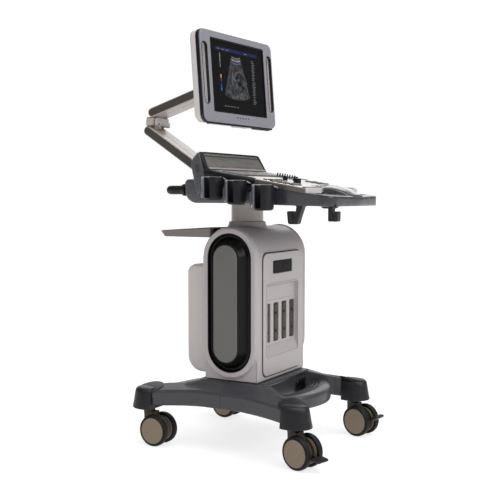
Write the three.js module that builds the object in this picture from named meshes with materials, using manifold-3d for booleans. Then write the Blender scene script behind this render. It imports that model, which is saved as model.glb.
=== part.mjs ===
// Cart-mounted ultrasound scanner: a base on four twin-wheel casters, an electronics cabinet,
// a lifting and swivelling console, and a monitor on a two-link arm.
// Millimetres, +Z up. The operator stands on the -Y side, and +X is on the operator's right.
import * as THREE from "three";
import { mergeVertices } from "three/addons/utils/BufferGeometryUtils.js";
import Module from "manifold-3d";

const wasm = await Module();
wasm.setup();

// ---------------------------------------------------------------- driving dimensions
const GAP = 0.3; // left between two pieces that touch

const CASTER_X = 219; // swivel axes, from the middle of the base
const CASTER_FRONT_Y = -262;
const CASTER_REAR_Y = 257;
const WHEEL_R = 50;
const WHEEL_TRAIL = 34;
const CAP_BOTTOM = 117;
const CAP_OVAL = 0.86; // the leg caps are narrower across the cart than along it
const CAP_BACK = 28; // from the swivel axis to the face that meets the leg

const LEG_END_OUT = 257; // outer and inner edges of a leg at its ends and at its waist
const LEG_END_IN = 190;
const LEG_WAIST_OUT = 218;
const LEG_WAIST_IN = 150;
const HUB_TOP = 217;
const HUB_FRONT = -122;
const HUB_REAR = 100;
const LEG_CROWN = 0.3; // the top of a leg rises inwards by this much per mm
const BASE_SEAM_Y = -8; // where the front and rear base castings meet

const FOOTREST_R = 230;
const FOOTREST_Y = -29; // centre of its outer edge
const FOOTREST_HOLE = [215, 143]; // half axes of the opening's ellipse
const FOOTREST_Z = [140, 182];

const CAB_X = 160; // half width of the cabinet
const CAB_Y = -12; // middle of its depth
const CAB_R = 95; // half depth, and the radius of its barrel top
const CAB_BOTTOM = 218;
const CAB_BARREL_Z = 602;
const CAB_WALL = 4;
const RING_STANDS = 12; // how far the capsule rims stand out from the sides
const RING_BOTTOM = 228;
const RING_WIDTH = 19;

const COLUMN_Y = 20;
const COLUMN_R = 52.5;
const NECK_R = 60; // collar round the column
const COLUMN_TOP = 771.7;

const CONSOLE_X = 190; // half width
const CONSOLE_FRONT = -372;
const DECK_RISE = 0.172; // the deck climbs towards the rear by this much per mm
const DECK_Z0 = 866; // its height at y = 0
const DECK_T = 12;
const DECK_FRONT = -283;
const DECK_REAR = 55;

const CUP_X = 232;
const CUP_R = 30;
const CLASP_R = 36; // shell behind a cup and on its console side
const CUP_SLIT_TURN = 8; // degrees from straight outwards towards the rear
const CUP_SLIT = 18; // width
const CUPS = [
  { y: 6, bottom: 783, top: 852 },
  { y: -76, bottom: 769, top: 841 },
  { y: -168, bottom: 752, top: 827 },
];

const ARM_HALF = 45; // half width of both arm links
const ARM_R = 15.5; // half thickness
const ARM_ROOT = [154, 866]; // pivots, as [y, z]
const ELBOW_LOW = [386, 1016];
const ELBOW_HIGH = [368, 1077];
const ARM_TIP = [166, 1139];
const TONGUE_HALF = 20;

const SWIVEL_Y = 140; // monitor swivel axis
const TILT = [118, 1150]; // monitor tilt axis, as [y, z]
const MONITOR_YAW = -3.4; // degrees, at rest
const MONITOR_LEAN = 4.4;
const SCREEN_Y = 47;
const SCREEN_Z = 1167;
const SCREEN_W = 304;
const SCREEN_H = 228;

// ---------------------------------------------------------------- shape helpers
const X = new THREE.Vector3(1, 0, 0);
const Y = new THREE.Vector3(0, 1, 0);
const Z = new THREE.Vector3(0, 0, 1);
const deckZ = (y) => DECK_Z0 + DECK_RISE * y;
const DECK_ANGLE = Math.atan(DECK_RISE);

// A closed polygon from [u, v] or [u, v, radius] corners: a radius rounds its corner.
function outline(corners) {
  const shape = new THREE.Shape();
  const count = corners.length;
  const at = (i) => new THREE.Vector2(...corners[(i + count) % count].slice(0, 2));
  for (let i = 0; i < count; i++) {
    const corner = at(i);
    const radius = corners[i][2] ?? 0;
    const before = at(i - 1).sub(corner).normalize().multiplyScalar(radius).add(corner);
    const after = at(i + 1).sub(corner).normalize().multiplyScalar(radius).add(corner);
    if (i === 0) shape.moveTo(before.x, before.y);
    else shape.lineTo(before.x, before.y);
    if (radius > 0) shape.quadraticCurveTo(corner.x, corner.y, after.x, after.y);
  }
  return shape;
}

function rectangle(u0, u1, v0, v1, radius = 0) {
  return outline([[u0, v0, radius], [u1, v0, radius], [u1, v1, radius], [u0, v1, radius]]);
}

function disc(u, v, radius) {
  return new THREE.Shape().absarc(u, v, radius, 0, 2 * Math.PI);
}

// A slot with round ends between two centres.
function slot([u0, v0], [u1, v1], radius) {
  const shape = new THREE.Shape();
  const along = Math.atan2(v1 - v0, u1 - u0);
  shape.absarc(u1, v1, radius, along - Math.PI / 2, along + Math.PI / 2);
  shape.absarc(u0, v0, radius, along + Math.PI / 2, along + 1.5 * Math.PI);
  return shape;
}

// Extrudes an outline along one axis: its u and v are y and z along x, x and z along y, x and y along z.
function prism(axis, shape, from, to, segments = 6) {
  const options = { depth: to - from, bevelEnabled: false, curveSegments: segments };
  const geometry = new THREE.ExtrudeGeometry(shape, options);
  const place = new THREE.Matrix4();
  if (axis === "x") place.makeBasis(Y, Z, X).setPosition(from, 0, 0);
  if (axis === "y") place.makeBasis(X, Z, Y.clone().negate()).setPosition(0, to, 0);
  if (axis === "z") place.setPosition(0, 0, from);
  return geometry.applyMatrix4(place);
}

function box(x0, x1, y0, y1, z0, z1) {
  return new THREE.BoxGeometry(x1 - x0, y1 - y0, z1 - z0).translate(
    (x0 + x1) / 2,
    (y0 + y1) / 2,
    (z0 + z1) / 2,
  );
}

// Turns a [radius, height] profile about an axis; the profile starts and ends on the axis.
function turned(axis, profile, segments = 24) {
  const points = profile.map(([radius, height]) => new THREE.Vector2(radius, height));
  const geometry = new THREE.LatheGeometry(points, segments);
  if (axis === "z") geometry.rotateX(Math.PI / 2);
  if (axis === "x") geometry.rotateZ(-Math.PI / 2);
  return geometry;
}

function solidOf(geometry) {
  const bare = geometry.clone();
  bare.deleteAttribute("normal");
  bare.deleteAttribute("uv");
  const merged = mergeVertices(bare, 1e-3);
  const make = (triVerts) =>
    new wasm.Manifold(
      new wasm.Mesh({ numProp: 3, vertProperties: merged.attributes.position.array, triVerts }),
    );
  const triVerts = new Uint32Array(merged.index.array);
  const solid = make(triVerts);
  return solid.volume() < 0 ? make(triVerts.reverse()) : solid;
}

function geometryOf(solid) {
  const { vertProperties, triVerts } = solid.getMesh();
  const geometry = new THREE.BufferGeometry();
  geometry.setAttribute("position", new THREE.BufferAttribute(vertProperties, 3));
  geometry.setIndex(new THREE.BufferAttribute(triVerts, 1));
  return geometry;
}

const join = (...pieces) => geometryOf(pieces.map(solidOf).reduce((all, next) => all.add(next)));
const common = (...pieces) => geometryOf(pieces.map(solidOf).reduce((all, next) => all.intersect(next)));
const cut = (piece, ...tools) =>
  geometryOf(tools.map(solidOf).reduce((rest, tool) => rest.subtract(tool), solidOf(piece)));

// ---------------------------------------------------------------- finishes
const FINISHES = {
  basePlastic: { color: 0x4f4f54, roughness: 0.55 },
  darkPlastic: { color: 0x303035, roughness: 0.6 },
  warmGrey: { color: 0xb0a8a8, roughness: 0.45 },
  midGrey: { color: 0x66665f, roughness: 0.5 },
  consoleGrey: { color: 0x5a5a60, roughness: 0.5 },
  rubber: { color: 0x1b1b1e, roughness: 0.8 },
  taupe: { color: 0x84786a, roughness: 0.5 },
  tyre: { color: 0x222224, roughness: 0.85 },
  silver: { color: 0xcdc6c3, roughness: 0.35 },
  beige: { color: 0xb2a8a0, roughness: 0.45 },
  bezelGrey: { color: 0x87848c, roughness: 0.4 },
  shellWhite: { color: 0xcdc6c6, roughness: 0.4 },
  screenGlass: { color: 0x0b0b0d, roughness: 0.15 },
  steel: { color: 0x8d8d8f, roughness: 0.35, metalness: 0.9 },
};

function finish(name) {
  return new THREE.MeshStandardMaterial({ metalness: 0, ...FINISHES[name] });
}

const machine = new THREE.Group();

function add(name, geometry, finishName, parent = machine) {
  const mesh = new THREE.Mesh(geometry, finish(finishName));
  mesh.name = name;
  parent.add(mesh);
  return mesh;
}

// A group whose origin is a joint's pivot.
function pivot(name, x, y, z, parent = machine) {
  const group = new THREE.Group();
  group.name = name;
  group.position.set(x, y, z);
  parent.add(group);
  return group;
}

// ---------------------------------------------------------------- base
const CAP_PROFILE = [[0, 117], [57, 117], [56.5, 122], [47, 174], [42, 181], [0, 186]];

function legCap(y) {
  const cone = turned("z", CAP_PROFILE, 28).scale(CAP_OVAL, 1, 1);
  const back = CAP_BACK - GAP;
  const [y0, y1] = y > 0 ? [-back, 80] : [-80, back];
  return common(cone, box(-80, 80, y0, y1, 100, 200));
}

// Outline of a leg seen from above: both long edges are shallow curves that pinch the waist.
function legPlan(side) {
  const reach = 262;
  const bend = (end, waist) => 2 * waist - end;
  const shape = new THREE.Shape();
  shape.moveTo(side * LEG_END_OUT, -reach);
  shape.quadraticCurveTo(side * bend(LEG_END_OUT, LEG_WAIST_OUT), 0, side * LEG_END_OUT, reach);
  shape.lineTo(side * LEG_END_IN, reach);
  shape.quadraticCurveTo(side * bend(LEG_END_IN, LEG_WAIST_IN), 0, side * LEG_END_IN, -reach);
  return shape;
}

function baseCasting() {
  const under = new THREE.Shape();
  under.moveTo(-270, 123);
  under.quadraticCurveTo(0, 153, 270, 123);
  under.lineTo(270, 260);
  under.lineTo(-270, 260);
  const over = new THREE.Shape();
  over.moveTo(-270, 60);
  over.lineTo(270, 60);
  over.lineTo(270, 183.3);
  over.quadraticCurveTo(0, 200.7, -270, 183.3);
  const legs = [-1, 1].map((side) => {
    const lean = new THREE.Matrix4().makeTranslation(side * LEG_WAIST_OUT, 0, 0);
    lean.elements[2] = -side * LEG_CROWN;
    const crown = prism("x", over, -100, 100, 14).applyMatrix4(lean);
    return common(prism("z", legPlan(side), 90, 250, 14), prism("x", under, -300, 300, 14), crown);
  });
  const shoulders = outline([
    [-205, 140],
    [205, 140],
    [219, 188],
    [170, HUB_TOP],
    [-170, HUB_TOP],
    [-219, 188],
  ]);
  const hub = prism("y", shoulders, HUB_FRONT, HUB_REAR);
  const length = box(-400, 400, CASTER_FRONT_Y + CAP_BACK, CASTER_REAR_Y - CAP_BACK, 0, 400);
  return common(join(...legs, hub), length);
}

function footrest() {
  const ring = disc(0, FOOTREST_Y, FOOTREST_R);
  ring.holes.push(new THREE.Path().absellipse(0, FOOTREST_Y, ...FOOTREST_HOLE, 0, 2 * Math.PI));
  return common(prism("z", ring, ...FOOTREST_Z, 32), box(-195, 195, -300, HUB_FRONT + 1, 100, 200));
}

function addBase() {
  const casting = baseCasting();
  const front = box(-400, 400, -400, BASE_SEAM_Y - GAP / 2, 0, 400);
  const rear = box(-400, 400, BASE_SEAM_Y + GAP / 2, 400, 0, 400);
  add("base_front", common(join(casting, footrest()), front), "basePlastic");
  add("base_rear", common(casting, rear), "basePlastic");
}

const CORNERS = [
  { name: "front_left", x: -CASTER_X, y: CASTER_FRONT_Y, turn: -14, brake: -18 },
  { name: "front_right", x: CASTER_X, y: CASTER_FRONT_Y, turn: -13, brake: 18 },
  { name: "rear_left", x: -CASTER_X, y: CASTER_REAR_Y, turn: 0 },
  { name: "rear_right", x: CASTER_X, y: CASTER_REAR_Y, turn: -5 },
];

function casterFork(braked) {
  const web = prism("x", disc(-WHEEL_TRAIL, WHEEL_R, 42), -13, 13, 10);
  const neck = box(-13, 13, -WHEEL_TRAIL, 13, 58, 103);
  const head = turned("z", [[0, 102], [18, 102], [18, CAP_BOTTOM - 0.4], [0, CAP_BOTTOM - 0.4]], 20);
  const axleHole = prism("x", disc(-WHEEL_TRAIL, WHEEL_R, 5.3), -20, 20, 8);
  const fork = cut(join(web, neck, head), axleHole);
  return braked ? cut(fork, box(-5.3, 5.3, -90, -44, 18, 82)) : fork;
}

// Both wheels and the axle between them, which turn together.
function casterWheels() {
  const half = [[5, 15.3], [46, 15.3], [50, 20], [50, 31], [46, 36], [38, 37.5], [0, 37.5]];
  const profile = [...half.map(([r, x]) => [r, -x]).reverse(), ...half];
  return turned("x", profile, 20).translate(0, -WHEEL_TRAIL, WHEEL_R);
}

const BRAKE_PIVOT = [-56, 50];

function brakePedal() {
  const lever = slot([0, 0], [-36, 0], 5.5);
  const boss = disc(0, 0, 8);
  const tread = outline([[-32, -5], [-32, 5, 3], [-60, 8, 3], [-62, 2, 2]]);
  return join(
    prism("x", lever, -5, 5, 5),
    prism("x", boss, -5, 5, 5),
    prism("x", tread, -20, 20, 3),
  );
}

function addCorner({ name, x, y, turn, brake }) {
  add("leg_cap_" + name, legCap(y).translate(x, y, 0), "darkPlastic");
  const caster = pivot("pivot_caster_" + name, x, y, 0);
  caster.rotation.z = THREE.MathUtils.degToRad(turn);
  add("caster_fork_" + name, casterFork(brake !== undefined), "taupe", caster);
  add("caster_wheels_" + name, casterWheels(), "tyre", caster);
  if (brake === undefined) return;
  const hinge = pivot("pivot_brake_" + name, 0, BRAKE_PIVOT[0], BRAKE_PIVOT[1], caster);
  hinge.rotation.x = -THREE.MathUtils.degToRad(brake);
  add("brake_pedal_" + name, brakePedal(), "darkPlastic", hinge);
}

// ---------------------------------------------------------------- cabinet
// Side outline of the cabinet, pulled in by a margin: flat bottom, barrel top.
function barrel(margin, bottom) {
  const radius = CAB_R - margin;
  const shape = new THREE.Shape();
  shape.moveTo(CAB_Y - radius, bottom);
  shape.lineTo(CAB_Y + radius, bottom);
  shape.absarc(CAB_Y, CAB_BARREL_Z, radius, 0, Math.PI);
  return shape;
}

// Upright capsule on a side of the cabinet, pulled in by a margin.
function capsule(margin) {
  const radius = CAB_R - margin;
  return slot([CAB_Y, RING_BOTTOM + CAB_R], [CAB_Y, CAB_BARREL_Z], radius);
}

function cabinetBody() {
  const outer = prism("x", barrel(0, CAB_BOTTOM), -CAB_X, CAB_X, 12);
  const room = prism("x", barrel(CAB_WALL, CAB_BOTTOM + CAB_WALL), CAB_WALL - CAB_X, CAB_X - CAB_WALL, 12);
  const neck = turned("z", [[0, 560], [NECK_R, 560], [NECK_R, 705], [NECK_R - 2.5, 712], [0, 712]], 28);
  const bore = turned("z", [[0, 500], [COLUMN_R + 0.6, 500], [COLUMN_R + 0.6, 800], [0, 800]], 28);
  const rearDoor = prism("y", rectangle(-122, 122, 250, 560, 12), 60, 120);
  const frontDoor = prism("y", rectangle(-118, 118, 245, 590, 12), -130, -90);
  const rims = [-1, 1].map((side) => {
    const rim = prism("x", capsule(0), CAB_X - 2, CAB_X + RING_STANDS, 12);
    const recess = prism("x", capsule(RING_WIDTH), CAB_X, CAB_X + RING_STANDS + 1, 12);
    return cut(rim.scale(side, 1, 1), recess.scale(side, 1, 1));
  });
  const shell = join(cut(outer, room), neck.translate(0, COLUMN_Y, 0), ...rims);
  return cut(shell, bore.translate(0, COLUMN_Y, 0), rearDoor, frontDoor);
}

// Dark panel inside a rim, with a raised flat boss.
function sidePanel(side) {
  const floorX = CAB_X + GAP;
  const steps = [[RING_WIDTH + 0.5, 0, 4], [RING_WIDTH + 9, 3, 16], [RING_WIDTH + 17, 15, 26], [52, 25, 34]];
  const layers = steps.map(([margin, from, to]) => {
    return prism("x", capsule(margin), floorX + from, floorX + to, 12).scale(side, 1, 1);
  });
  return join(...layers);
}

const COVER_Y = CAB_Y - CAB_R; // plane of the cabinet's front face
const PORT_PITCH = 55;
const PORTS = [-1.5, -0.5, 0.5, 1.5].map((step) => step * PORT_PITCH);

function frontCover() {
  const plate = prism("y", rectangle(-128, 128, 232, 612, 24), COVER_Y - 3, COVER_Y - GAP);
  const lining = prism("y", rectangle(-114, 114, 250, 586, 10), COVER_Y - 1, COVER_Y + 8);
  const tray = outline([
    [COVER_Y - 9, 285],
    [COVER_Y + 4, 322],
    [COVER_Y + 4, 500],
    [COVER_Y - 9, 518],
  ]);
  const openings = PORTS.map((x) => {
    return prism("y", rectangle(x - 17, x + 17, 333, 456, 3), COVER_Y - 20, COVER_Y + 20);
  });
  const windowPocket = box(-66, 66, COVER_Y - 9, COVER_Y - 1, 551, 592);
  return cut(join(plate, lining), prism("x", tray, -106, 106), windowPocket, ...openings);
}

function probePortBoard() {
  const board = box(-108, 108, COVER_Y + 14, COVER_Y + 18, 320, 470);
  const sockets = PORTS.map((x) => box(x - 15, x + 15, COVER_Y + 6, COVER_Y + 15, 337, 452));
  return join(board, ...sockets);
}

const REAR_FACE = CAB_Y + CAB_R;
const REAR_COVER_BACK = 165;

function rearCover() {
  const profile = (margin) =>
    outline([
      [REAR_FACE + GAP, 232 + margin],
      [REAR_COVER_BACK - margin, 232 + margin, 60 - margin],
      [REAR_COVER_BACK - margin, 575 - margin, 40 - margin],
      [REAR_FACE + GAP, 575 - margin],
    ]);
  const shell = prism("x", profile(0), -138, 138, 8);
  const room = prism("x", profile(4), -134, 134, 8);
  return cut(shell, room.translate(0, -1, 0));
}

function mainsInlet() {
  const [x, z] = [80, 350];
  const body = box(x - 26, x + 26, REAR_COVER_BACK + GAP, REAR_COVER_BACK + 18, z - 17, z + 17);
  const mouth = box(x - 13, x + 13, REAR_COVER_BACK + 4, REAR_COVER_BACK + 20, z - 9, z + 9);
  return cut(body, mouth);
}

const TRAY_FLOOR = 672;

function rearTray() {
  const side = outline([[40, 692], [264, 684], [250, 664], [40, 664]]);
  const block = prism("x", side, -150, 150);
  const hollow = box(-146, 146, 20, 249, TRAY_FLOOR, 720);
  const barrelRoom = prism("x", barrel(-GAP, 300), -200, 200, 24);
  const neckRoom = prism("z", disc(0, COLUMN_Y, NECK_R + 0.6), 600, 720, 12);
  return cut(block, hollow, barrelRoom, neckRoom);
}

function electronicsChassis() {
  const shell = box(-140, 140, -62, 70, 240, 480);
  const cards = [-110, -55, 0, 55].map((x) => box(x + 4, x + 51, -80, 64, 246, 474));
  return cut(shell, ...cards);
}

function addCabinet() {
  add("cabinet_body", cabinetBody(), "warmGrey");
  add("front_cover", frontCover(), "warmGrey");
  add("probe_port_board", probePortBoard(), "darkPlastic");
  add("side_panel_left", sidePanel(-1), "darkPlastic");
  add("side_panel_right", sidePanel(1), "darkPlastic");
  add("rear_cover", rearCover(), "warmGrey");
  add("mains_inlet", mainsInlet(), "darkPlastic");
  add("rear_tray", rearTray(), "steel");
  add("electronics_chassis", electronicsChassis(), "steel");
}

// ---------------------------------------------------------------- column
function liftColumn() {
  const bottom = 520;
  const outer = prism("z", disc(0, 0, COLUMN_R), bottom, COLUMN_TOP, 14);
  const inner = prism("z", disc(0, 0, COLUMN_R - 4), bottom - 1, COLUMN_TOP + 1, 14);
  return cut(outer, inner);
}

// ---------------------------------------------------------------- console
const HOUSING_X = 160;
const HOUSING_REAR = 160;
const HOUSING_SPLIT = 812; // lower housing below, console frame above

function consoleHousing() {
  const profile = outline([
    [-149.7, 772],
    [HOUSING_REAR, 772, 40],
    [HOUSING_REAR, 848, 14],
    [111.3, 848],
    [111.3, HOUSING_SPLIT],
    [-149.7, HOUSING_SPLIT],
  ]);
  const tub = prism("x", profile, -HOUSING_X, HOUSING_X, 8);
  const room = box(-150, 150, -138, 100, 784, 850);
  const spigot = prism("z", disc(0, COLUMN_Y, 46), 740, 790, 12);
  return join(cut(tub, room), spigot);
}

// Console seen from above: rounded front corners and a slightly bowed front edge.
function consolePlan() {
  return outline([
    [-CONSOLE_X, 112],
    [-CONSOLE_X, CONSOLE_FRONT + 8, 46],
    [0, CONSOLE_FRONT - 3, 90],
    [CONSOLE_X, CONSOLE_FRONT + 8, 46],
    [CONSOLE_X, 112],
  ]);
}

function deckPlan(clearance = 0) {
  const c = clearance;
  return outline([
    [-176 - c, DECK_REAR + c],
    [-176 - c, -95],
    [-188 - c, -112],
    [-188 - c, DECK_FRONT - c],
    [-64 - c, DECK_FRONT - c],
    [-50 - c, -338 - c],
    [50 + c, -338 - c],
    [64 + c, DECK_FRONT - c],
    [188 + c, DECK_FRONT - c],
    [188 + c, -112],
    [176 + c, -95],
    [176 + c, DECK_REAR + c],
  ]);
}

// Wedge between two heights measured from the deck plane.
function deckLayer(low, high, y0, y1) {
  const layer = outline([
    [y0, deckZ(y0) + low],
    [y1, deckZ(y1) + low],
    [y1, deckZ(y1) + high],
    [y0, deckZ(y0) + high],
  ]);
  return prism("x", layer, -250, 250);
}

// Arm from the frame's side to the clasp round a cup.
function cupArm(side, { y, top }) {
  const arm = box(180, CUP_X, y - 12, y + 14, top - 40, top - 10).scale(side, 1, 1);
  return cut(arm, prism("z", disc(side * CUP_X, y, CLASP_R + GAP), 700, 900, 10));
}

const KNOBS = [
  { name: "knob_gain", x: -16, y: -126, r: 8, height: 14 },
  { name: "knob_depth", x: 40, y: -134, r: 8, height: 14 },
  { name: "knob_select", x: -38, y: -180, r: 12, height: 15 },
];
const TRACKBALL = { x: 18, y: -254, r: 19, sink: 12 };

function consoleFrame() {
  const top = (y, drop) => [y, deckZ(y) - drop];
  const profile = outline([
    [-380, 767],
    [-150, 771],
    [-150, HOUSING_SPLIT + GAP],
    [92, HOUSING_SPLIT + GAP],
    [111, 845],
    [111, 904, 10],
    [88, 931, 8],
    [78, 927],
    top(DECK_REAR, 0),
    top(DECK_FRONT + 12, 0),
    [DECK_FRONT, 806],
    [-335, 798],
    [-380, 790],
  ]);
  const side = prism("x", profile, -CONSOLE_X, CONSOLE_X, 6);
  const block = common(side, prism("z", consolePlan(), 700, 1000, 8));
  const overDeck = deckLayer(-DECK_T - GAP, 60, -345, DECK_REAR + GAP);
  const deckPocket = common(prism("z", deckPlan(GAP), 700, 1000), overDeck);
  const ballPocket = prism("z", disc(TRACKBALL.x, TRACKBALL.y, TRACKBALL.r + 0.8), 784, 900, 8);
  const room = common(box(-182, 182, -142, 104, 700, 1000), deckLayer(-200, -DECK_T - 6, -150, 48));
  const holes = [-1, 1].map((hand) => {
    return prism("z", rectangle(66, 164, -330, -286, 14), 700, 900, 5).scale(hand, 1, 1);
  });
  const arms = [-1, 1].flatMap((side) => CUPS.map((cup) => cupArm(side, cup)));
  const hollowed = join(cut(block, room), ...arms);
  return cut(hollowed, deckPocket, ballPocket, touchPanelPocket(), ...holes);
}

function consoleDeck() {
  const plate = common(prism("z", deckPlan(), 700, 1000), deckLayer(-DECK_T, 0, -345, DECK_REAR));
  return cut(plate, prism("z", disc(TRACKBALL.x, TRACKBALL.y, TRACKBALL.r + 0.6), 700, 900, 8));
}

// Trapezoid panel lying in the steep front face of the console's back wall.
function leaningPanel(clearance, front, back) {
  const face = outline([
    [-175 - clearance, -25 - clearance],
    [175 + clearance, -25 - clearance],
    [159 + clearance, 23 + clearance],
    [-159 - clearance, 23 + clearance],
  ]);
  const lean = Math.atan2(21, 41);
  return prism("y", face, front, back).rotateX(-lean).translate(0, 71, 905);
}

const touchPanel = () => leaningPanel(0, -1.5, 9);
const touchPanelPocket = () => leaningPanel(0.5, -12, 9.5);

// Cup with a slit for the probe's cable, in a clasp that is open towards the operator and outwards.
function probeCup({ bottom, top }, side) {
  const wall = 4.5;
  const cup = prism("z", disc(0, 0, CUP_R), bottom, top, 10);
  const shell = prism("z", disc(0, 0, CLASP_R), bottom + 8, top - 6, 10);
  const behind = box(-60, 60, 2, 60, 700, 900);
  const inside = box(-60, -6, -60, 60, 700, 900).scale(side, 1, 1);
  const room = prism("z", disc(0, 0, CUP_R - wall), bottom + 5, top + 1, 10);
  const slit = box(0, 60, -CUP_SLIT / 2, CUP_SLIT / 2, bottom + 5, top + 1).scale(side, 1, 1);
  slit.rotateZ(side * THREE.MathUtils.degToRad(CUP_SLIT_TURN));
  return cut(join(cup, common(shell, join(behind, inside))), room, slit);
}

function rearHandle() {
  const [x, y, z, bend, bar] = [145, 232, 814, 26, 14.5];
  const at = (px, py) => new THREE.Vector3(px, py, z);
  const root = HOUSING_REAR + GAP;
  const path = new THREE.CurvePath();
  path.add(new THREE.LineCurve3(at(-x, root), at(-x, y - bend)));
  path.add(new THREE.QuadraticBezierCurve3(at(-x, y - bend), at(-x, y), at(-x + bend, y)));
  path.add(new THREE.LineCurve3(at(-x + bend, y), at(x - bend, y)));
  path.add(new THREE.QuadraticBezierCurve3(at(x - bend, y), at(x, y), at(x, y - bend)));
  path.add(new THREE.LineCurve3(at(x, y - bend), at(x, root)));
  const options = { steps: 40, extrudePath: path, bevelEnabled: false, curveSegments: 5 };
  return new THREE.ExtrudeGeometry(disc(0, 0, bar), options);
}

const HOOK_REAR = [
  [-250, 766],
  [-268, 766],
  [-257, 735],
  [-250, 712, 5],
  [-220, 712, 5],
  [-216, 750, 4],
  [-236, 750, 3],
  [-236, 728],
  [-244, 728],
];
const HOOK_FRONT = [
  [-341, 765],
  [-341, 721, 4],
  [-371, 721, 4],
  [-372, 750, 3],
  [-361, 750, 3],
  [-361, 735],
  [-353, 735],
  [-353, 765],
];

function addConsole(lift) {
  const swivel = pivot("pivot_console", 0, COLUMN_Y, 0, lift);
  const deckGroup = new THREE.Group();
  deckGroup.position.y = -COLUMN_Y;
  swivel.add(deckGroup);
  add("console_housing", consoleHousing(), "consoleGrey", deckGroup);
  add("console_frame", consoleFrame(), "consoleGrey", deckGroup);
  add("console_deck", consoleDeck(), "silver", deckGroup);
  add("touch_panel", touchPanel(), "midGrey", deckGroup);
  add("rear_handle", rearHandle(), "rubber", deckGroup);
  for (const [side, label] of [[-1, "left"], [1, "right"]]) {
    CUPS.forEach((cup, i) => {
      const mesh = add(`probe_cup_${label}_${i + 1}`, probeCup(cup, side), "rubber", deckGroup);
      mesh.position.set(side * CUP_X, cup.y, 0);
    });
  }
  add("cable_hook_rear", prism("x", outline(HOOK_REAR), -180, -154), "darkPlastic", deckGroup);
  add("cable_hook_front", prism("x", outline(HOOK_FRONT), -160, -134), "darkPlastic", deckGroup);
  addControls(deckGroup);
  return deckGroup;
}

function addControls(deckGroup) {
  for (const { name, x, y, r, height } of KNOBS) {
    const stand = pivot("pivot_" + name, x, y, deckZ(y), deckGroup);
    stand.rotation.x = DECK_ANGLE;
    const profile = [[0, GAP], [r, GAP], [r * 0.9, height], [0, height]];
    add(name, turned("z", profile, 20), "rubber", stand);
  }
  const ballZ = deckZ(TRACKBALL.y) - TRACKBALL.sink;
  const ball = pivot("pivot_trackball", TRACKBALL.x, TRACKBALL.y, ballZ, deckGroup);
  add("trackball", new THREE.SphereGeometry(TRACKBALL.r, 20, 12), "rubber", ball);
  for (let i = 0; i < 8; i++) {
    const y = -40 - 9 * i;
    const stand = pivot("pivot_tgc_" + (i + 1), 95, y, deckZ(y), deckGroup);
    stand.rotation.x = DECK_ANGLE;
    const cap = outline([[-3.2, GAP], [3.2, GAP], [2.2, 12], [-2.2, 12]]);
    add(`tgc_slider_${i + 1}`, prism("x", cap, -5, 5), "rubber", stand);
  }
}

// ---------------------------------------------------------------- arm
function armLink(length, tongueReach) {
  const link = prism("x", slot([0, 0], [length, 0], ARM_R), -ARM_HALF, ARM_HALF, 8);
  const slots = [0, length].map((at) =>
    prism("x", disc(at, 0, tongueReach), -TONGUE_HALF - 0.4, TONGUE_HALF + 0.4, 8),
  );
  return cut(link, ...slots);
}

function angleOf([y0, z0], [y1, z1]) {
  return Math.atan2(z1 - z0, y1 - y0);
}

function distance([y0, z0], [y1, z1]) {
  return Math.hypot(y1 - y0, z1 - z0);
}

const tongue = (y, z) => prism("x", disc(y, z, 14), -TONGUE_HALF, TONGUE_HALF, 8);

function armBase() {
  const turret = prism("z", disc(0, 136, 20), 848.3, 858, 8);
  const bracket = outline([[122, 854], [160, 854], [166, 866], [140, 866]]);
  return join(turret, prism("x", bracket, -TONGUE_HALF, TONGUE_HALF), tongue(...ARM_ROOT));
}

function knuckle() {
  const web = slot(ELBOW_LOW, ELBOW_HIGH, 11);
  const waist = outline([[368, 1041], [391, 1038], [388, 1056], [363, 1056]]);
  return join(
    prism("x", web, -TONGUE_HALF, TONGUE_HALF, 8),
    tongue(...ELBOW_LOW),
    tongue(...ELBOW_HIGH),
    prism("x", waist, -ARM_HALF, ARM_HALF),
  );
}

function monitorMount() {
  const [y, z] = ARM_TIP;
  const barrelPost = turned("z", [[0, z - 20], [11, z - 20], [11, z + 20], [0, z + 20]], 16);
  const web = box(-9, 9, SWIVEL_Y, y, z - 9, z + 9);
  return join(tongue(y, z), barrelPost.translate(0, SWIVEL_Y, 0), web);
}

// Clevis that turns on the mount's post and ends in the tilt tongue.
function monitorYoke() {
  const z = ARM_TIP[1] - TILT[1];
  const [low, high] = [z - 26, z + 26];
  const back = SWIVEL_Y - TILT[0];
  const plate = (from, to) => prism("z", slot([0, 0], [0, back], 11), from, to, 8);
  const spine = box(-9, 9, -7, 7, low, high);
  const tilt = prism("x", disc(0, 0, 9), -16, 16, 8);
  return join(plate(low, low + 5.5), plate(high - 5.5, high), spine, tilt);
}

const MONITOR = { left: -206, right: 207, low: -149, high: 137, corner: 24 };
const BEZEL = { front: -3, back: 7 };
const SHELL_EDGE = 40;
const GRIP = { u: 186, low: -92, high: 95, half: 12 };

// Depths run backwards from the screen's surface; u and w are measured from its centre.
function panel(shape, from, to, segments = 6) {
  return prism("y", shape, from, to, segments).translate(0, SCREEN_Y - TILT[0], SCREEN_Z - TILT[1]);
}

function monitorOutline(margin) {
  const { left, right, low, high, corner } = MONITOR;
  return rectangle(left + margin, right - margin, low + margin, high - margin, corner - margin / 2);
}

function gripSlots(from, to, grow) {
  return [-1, 1].map((side) => {
    const u = side * GRIP.u;
    const ends = [[u, GRIP.low + GRIP.half], [u, GRIP.high - GRIP.half]];
    return panel(slot(...ends, GRIP.half + grow), from, to);
  });
}

function monitorBezel() {
  const frame = panel(monitorOutline(0), BEZEL.front, BEZEL.back);
  const [w, h] = [SCREEN_W / 2 + GAP, SCREEN_H / 2 + GAP];
  const opening = panel(rectangle(-w, w, -h, h), BEZEL.front - 1, BEZEL.back + 1);
  return cut(frame, opening, ...gripSlots(-5, 9, 0));
}

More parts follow.
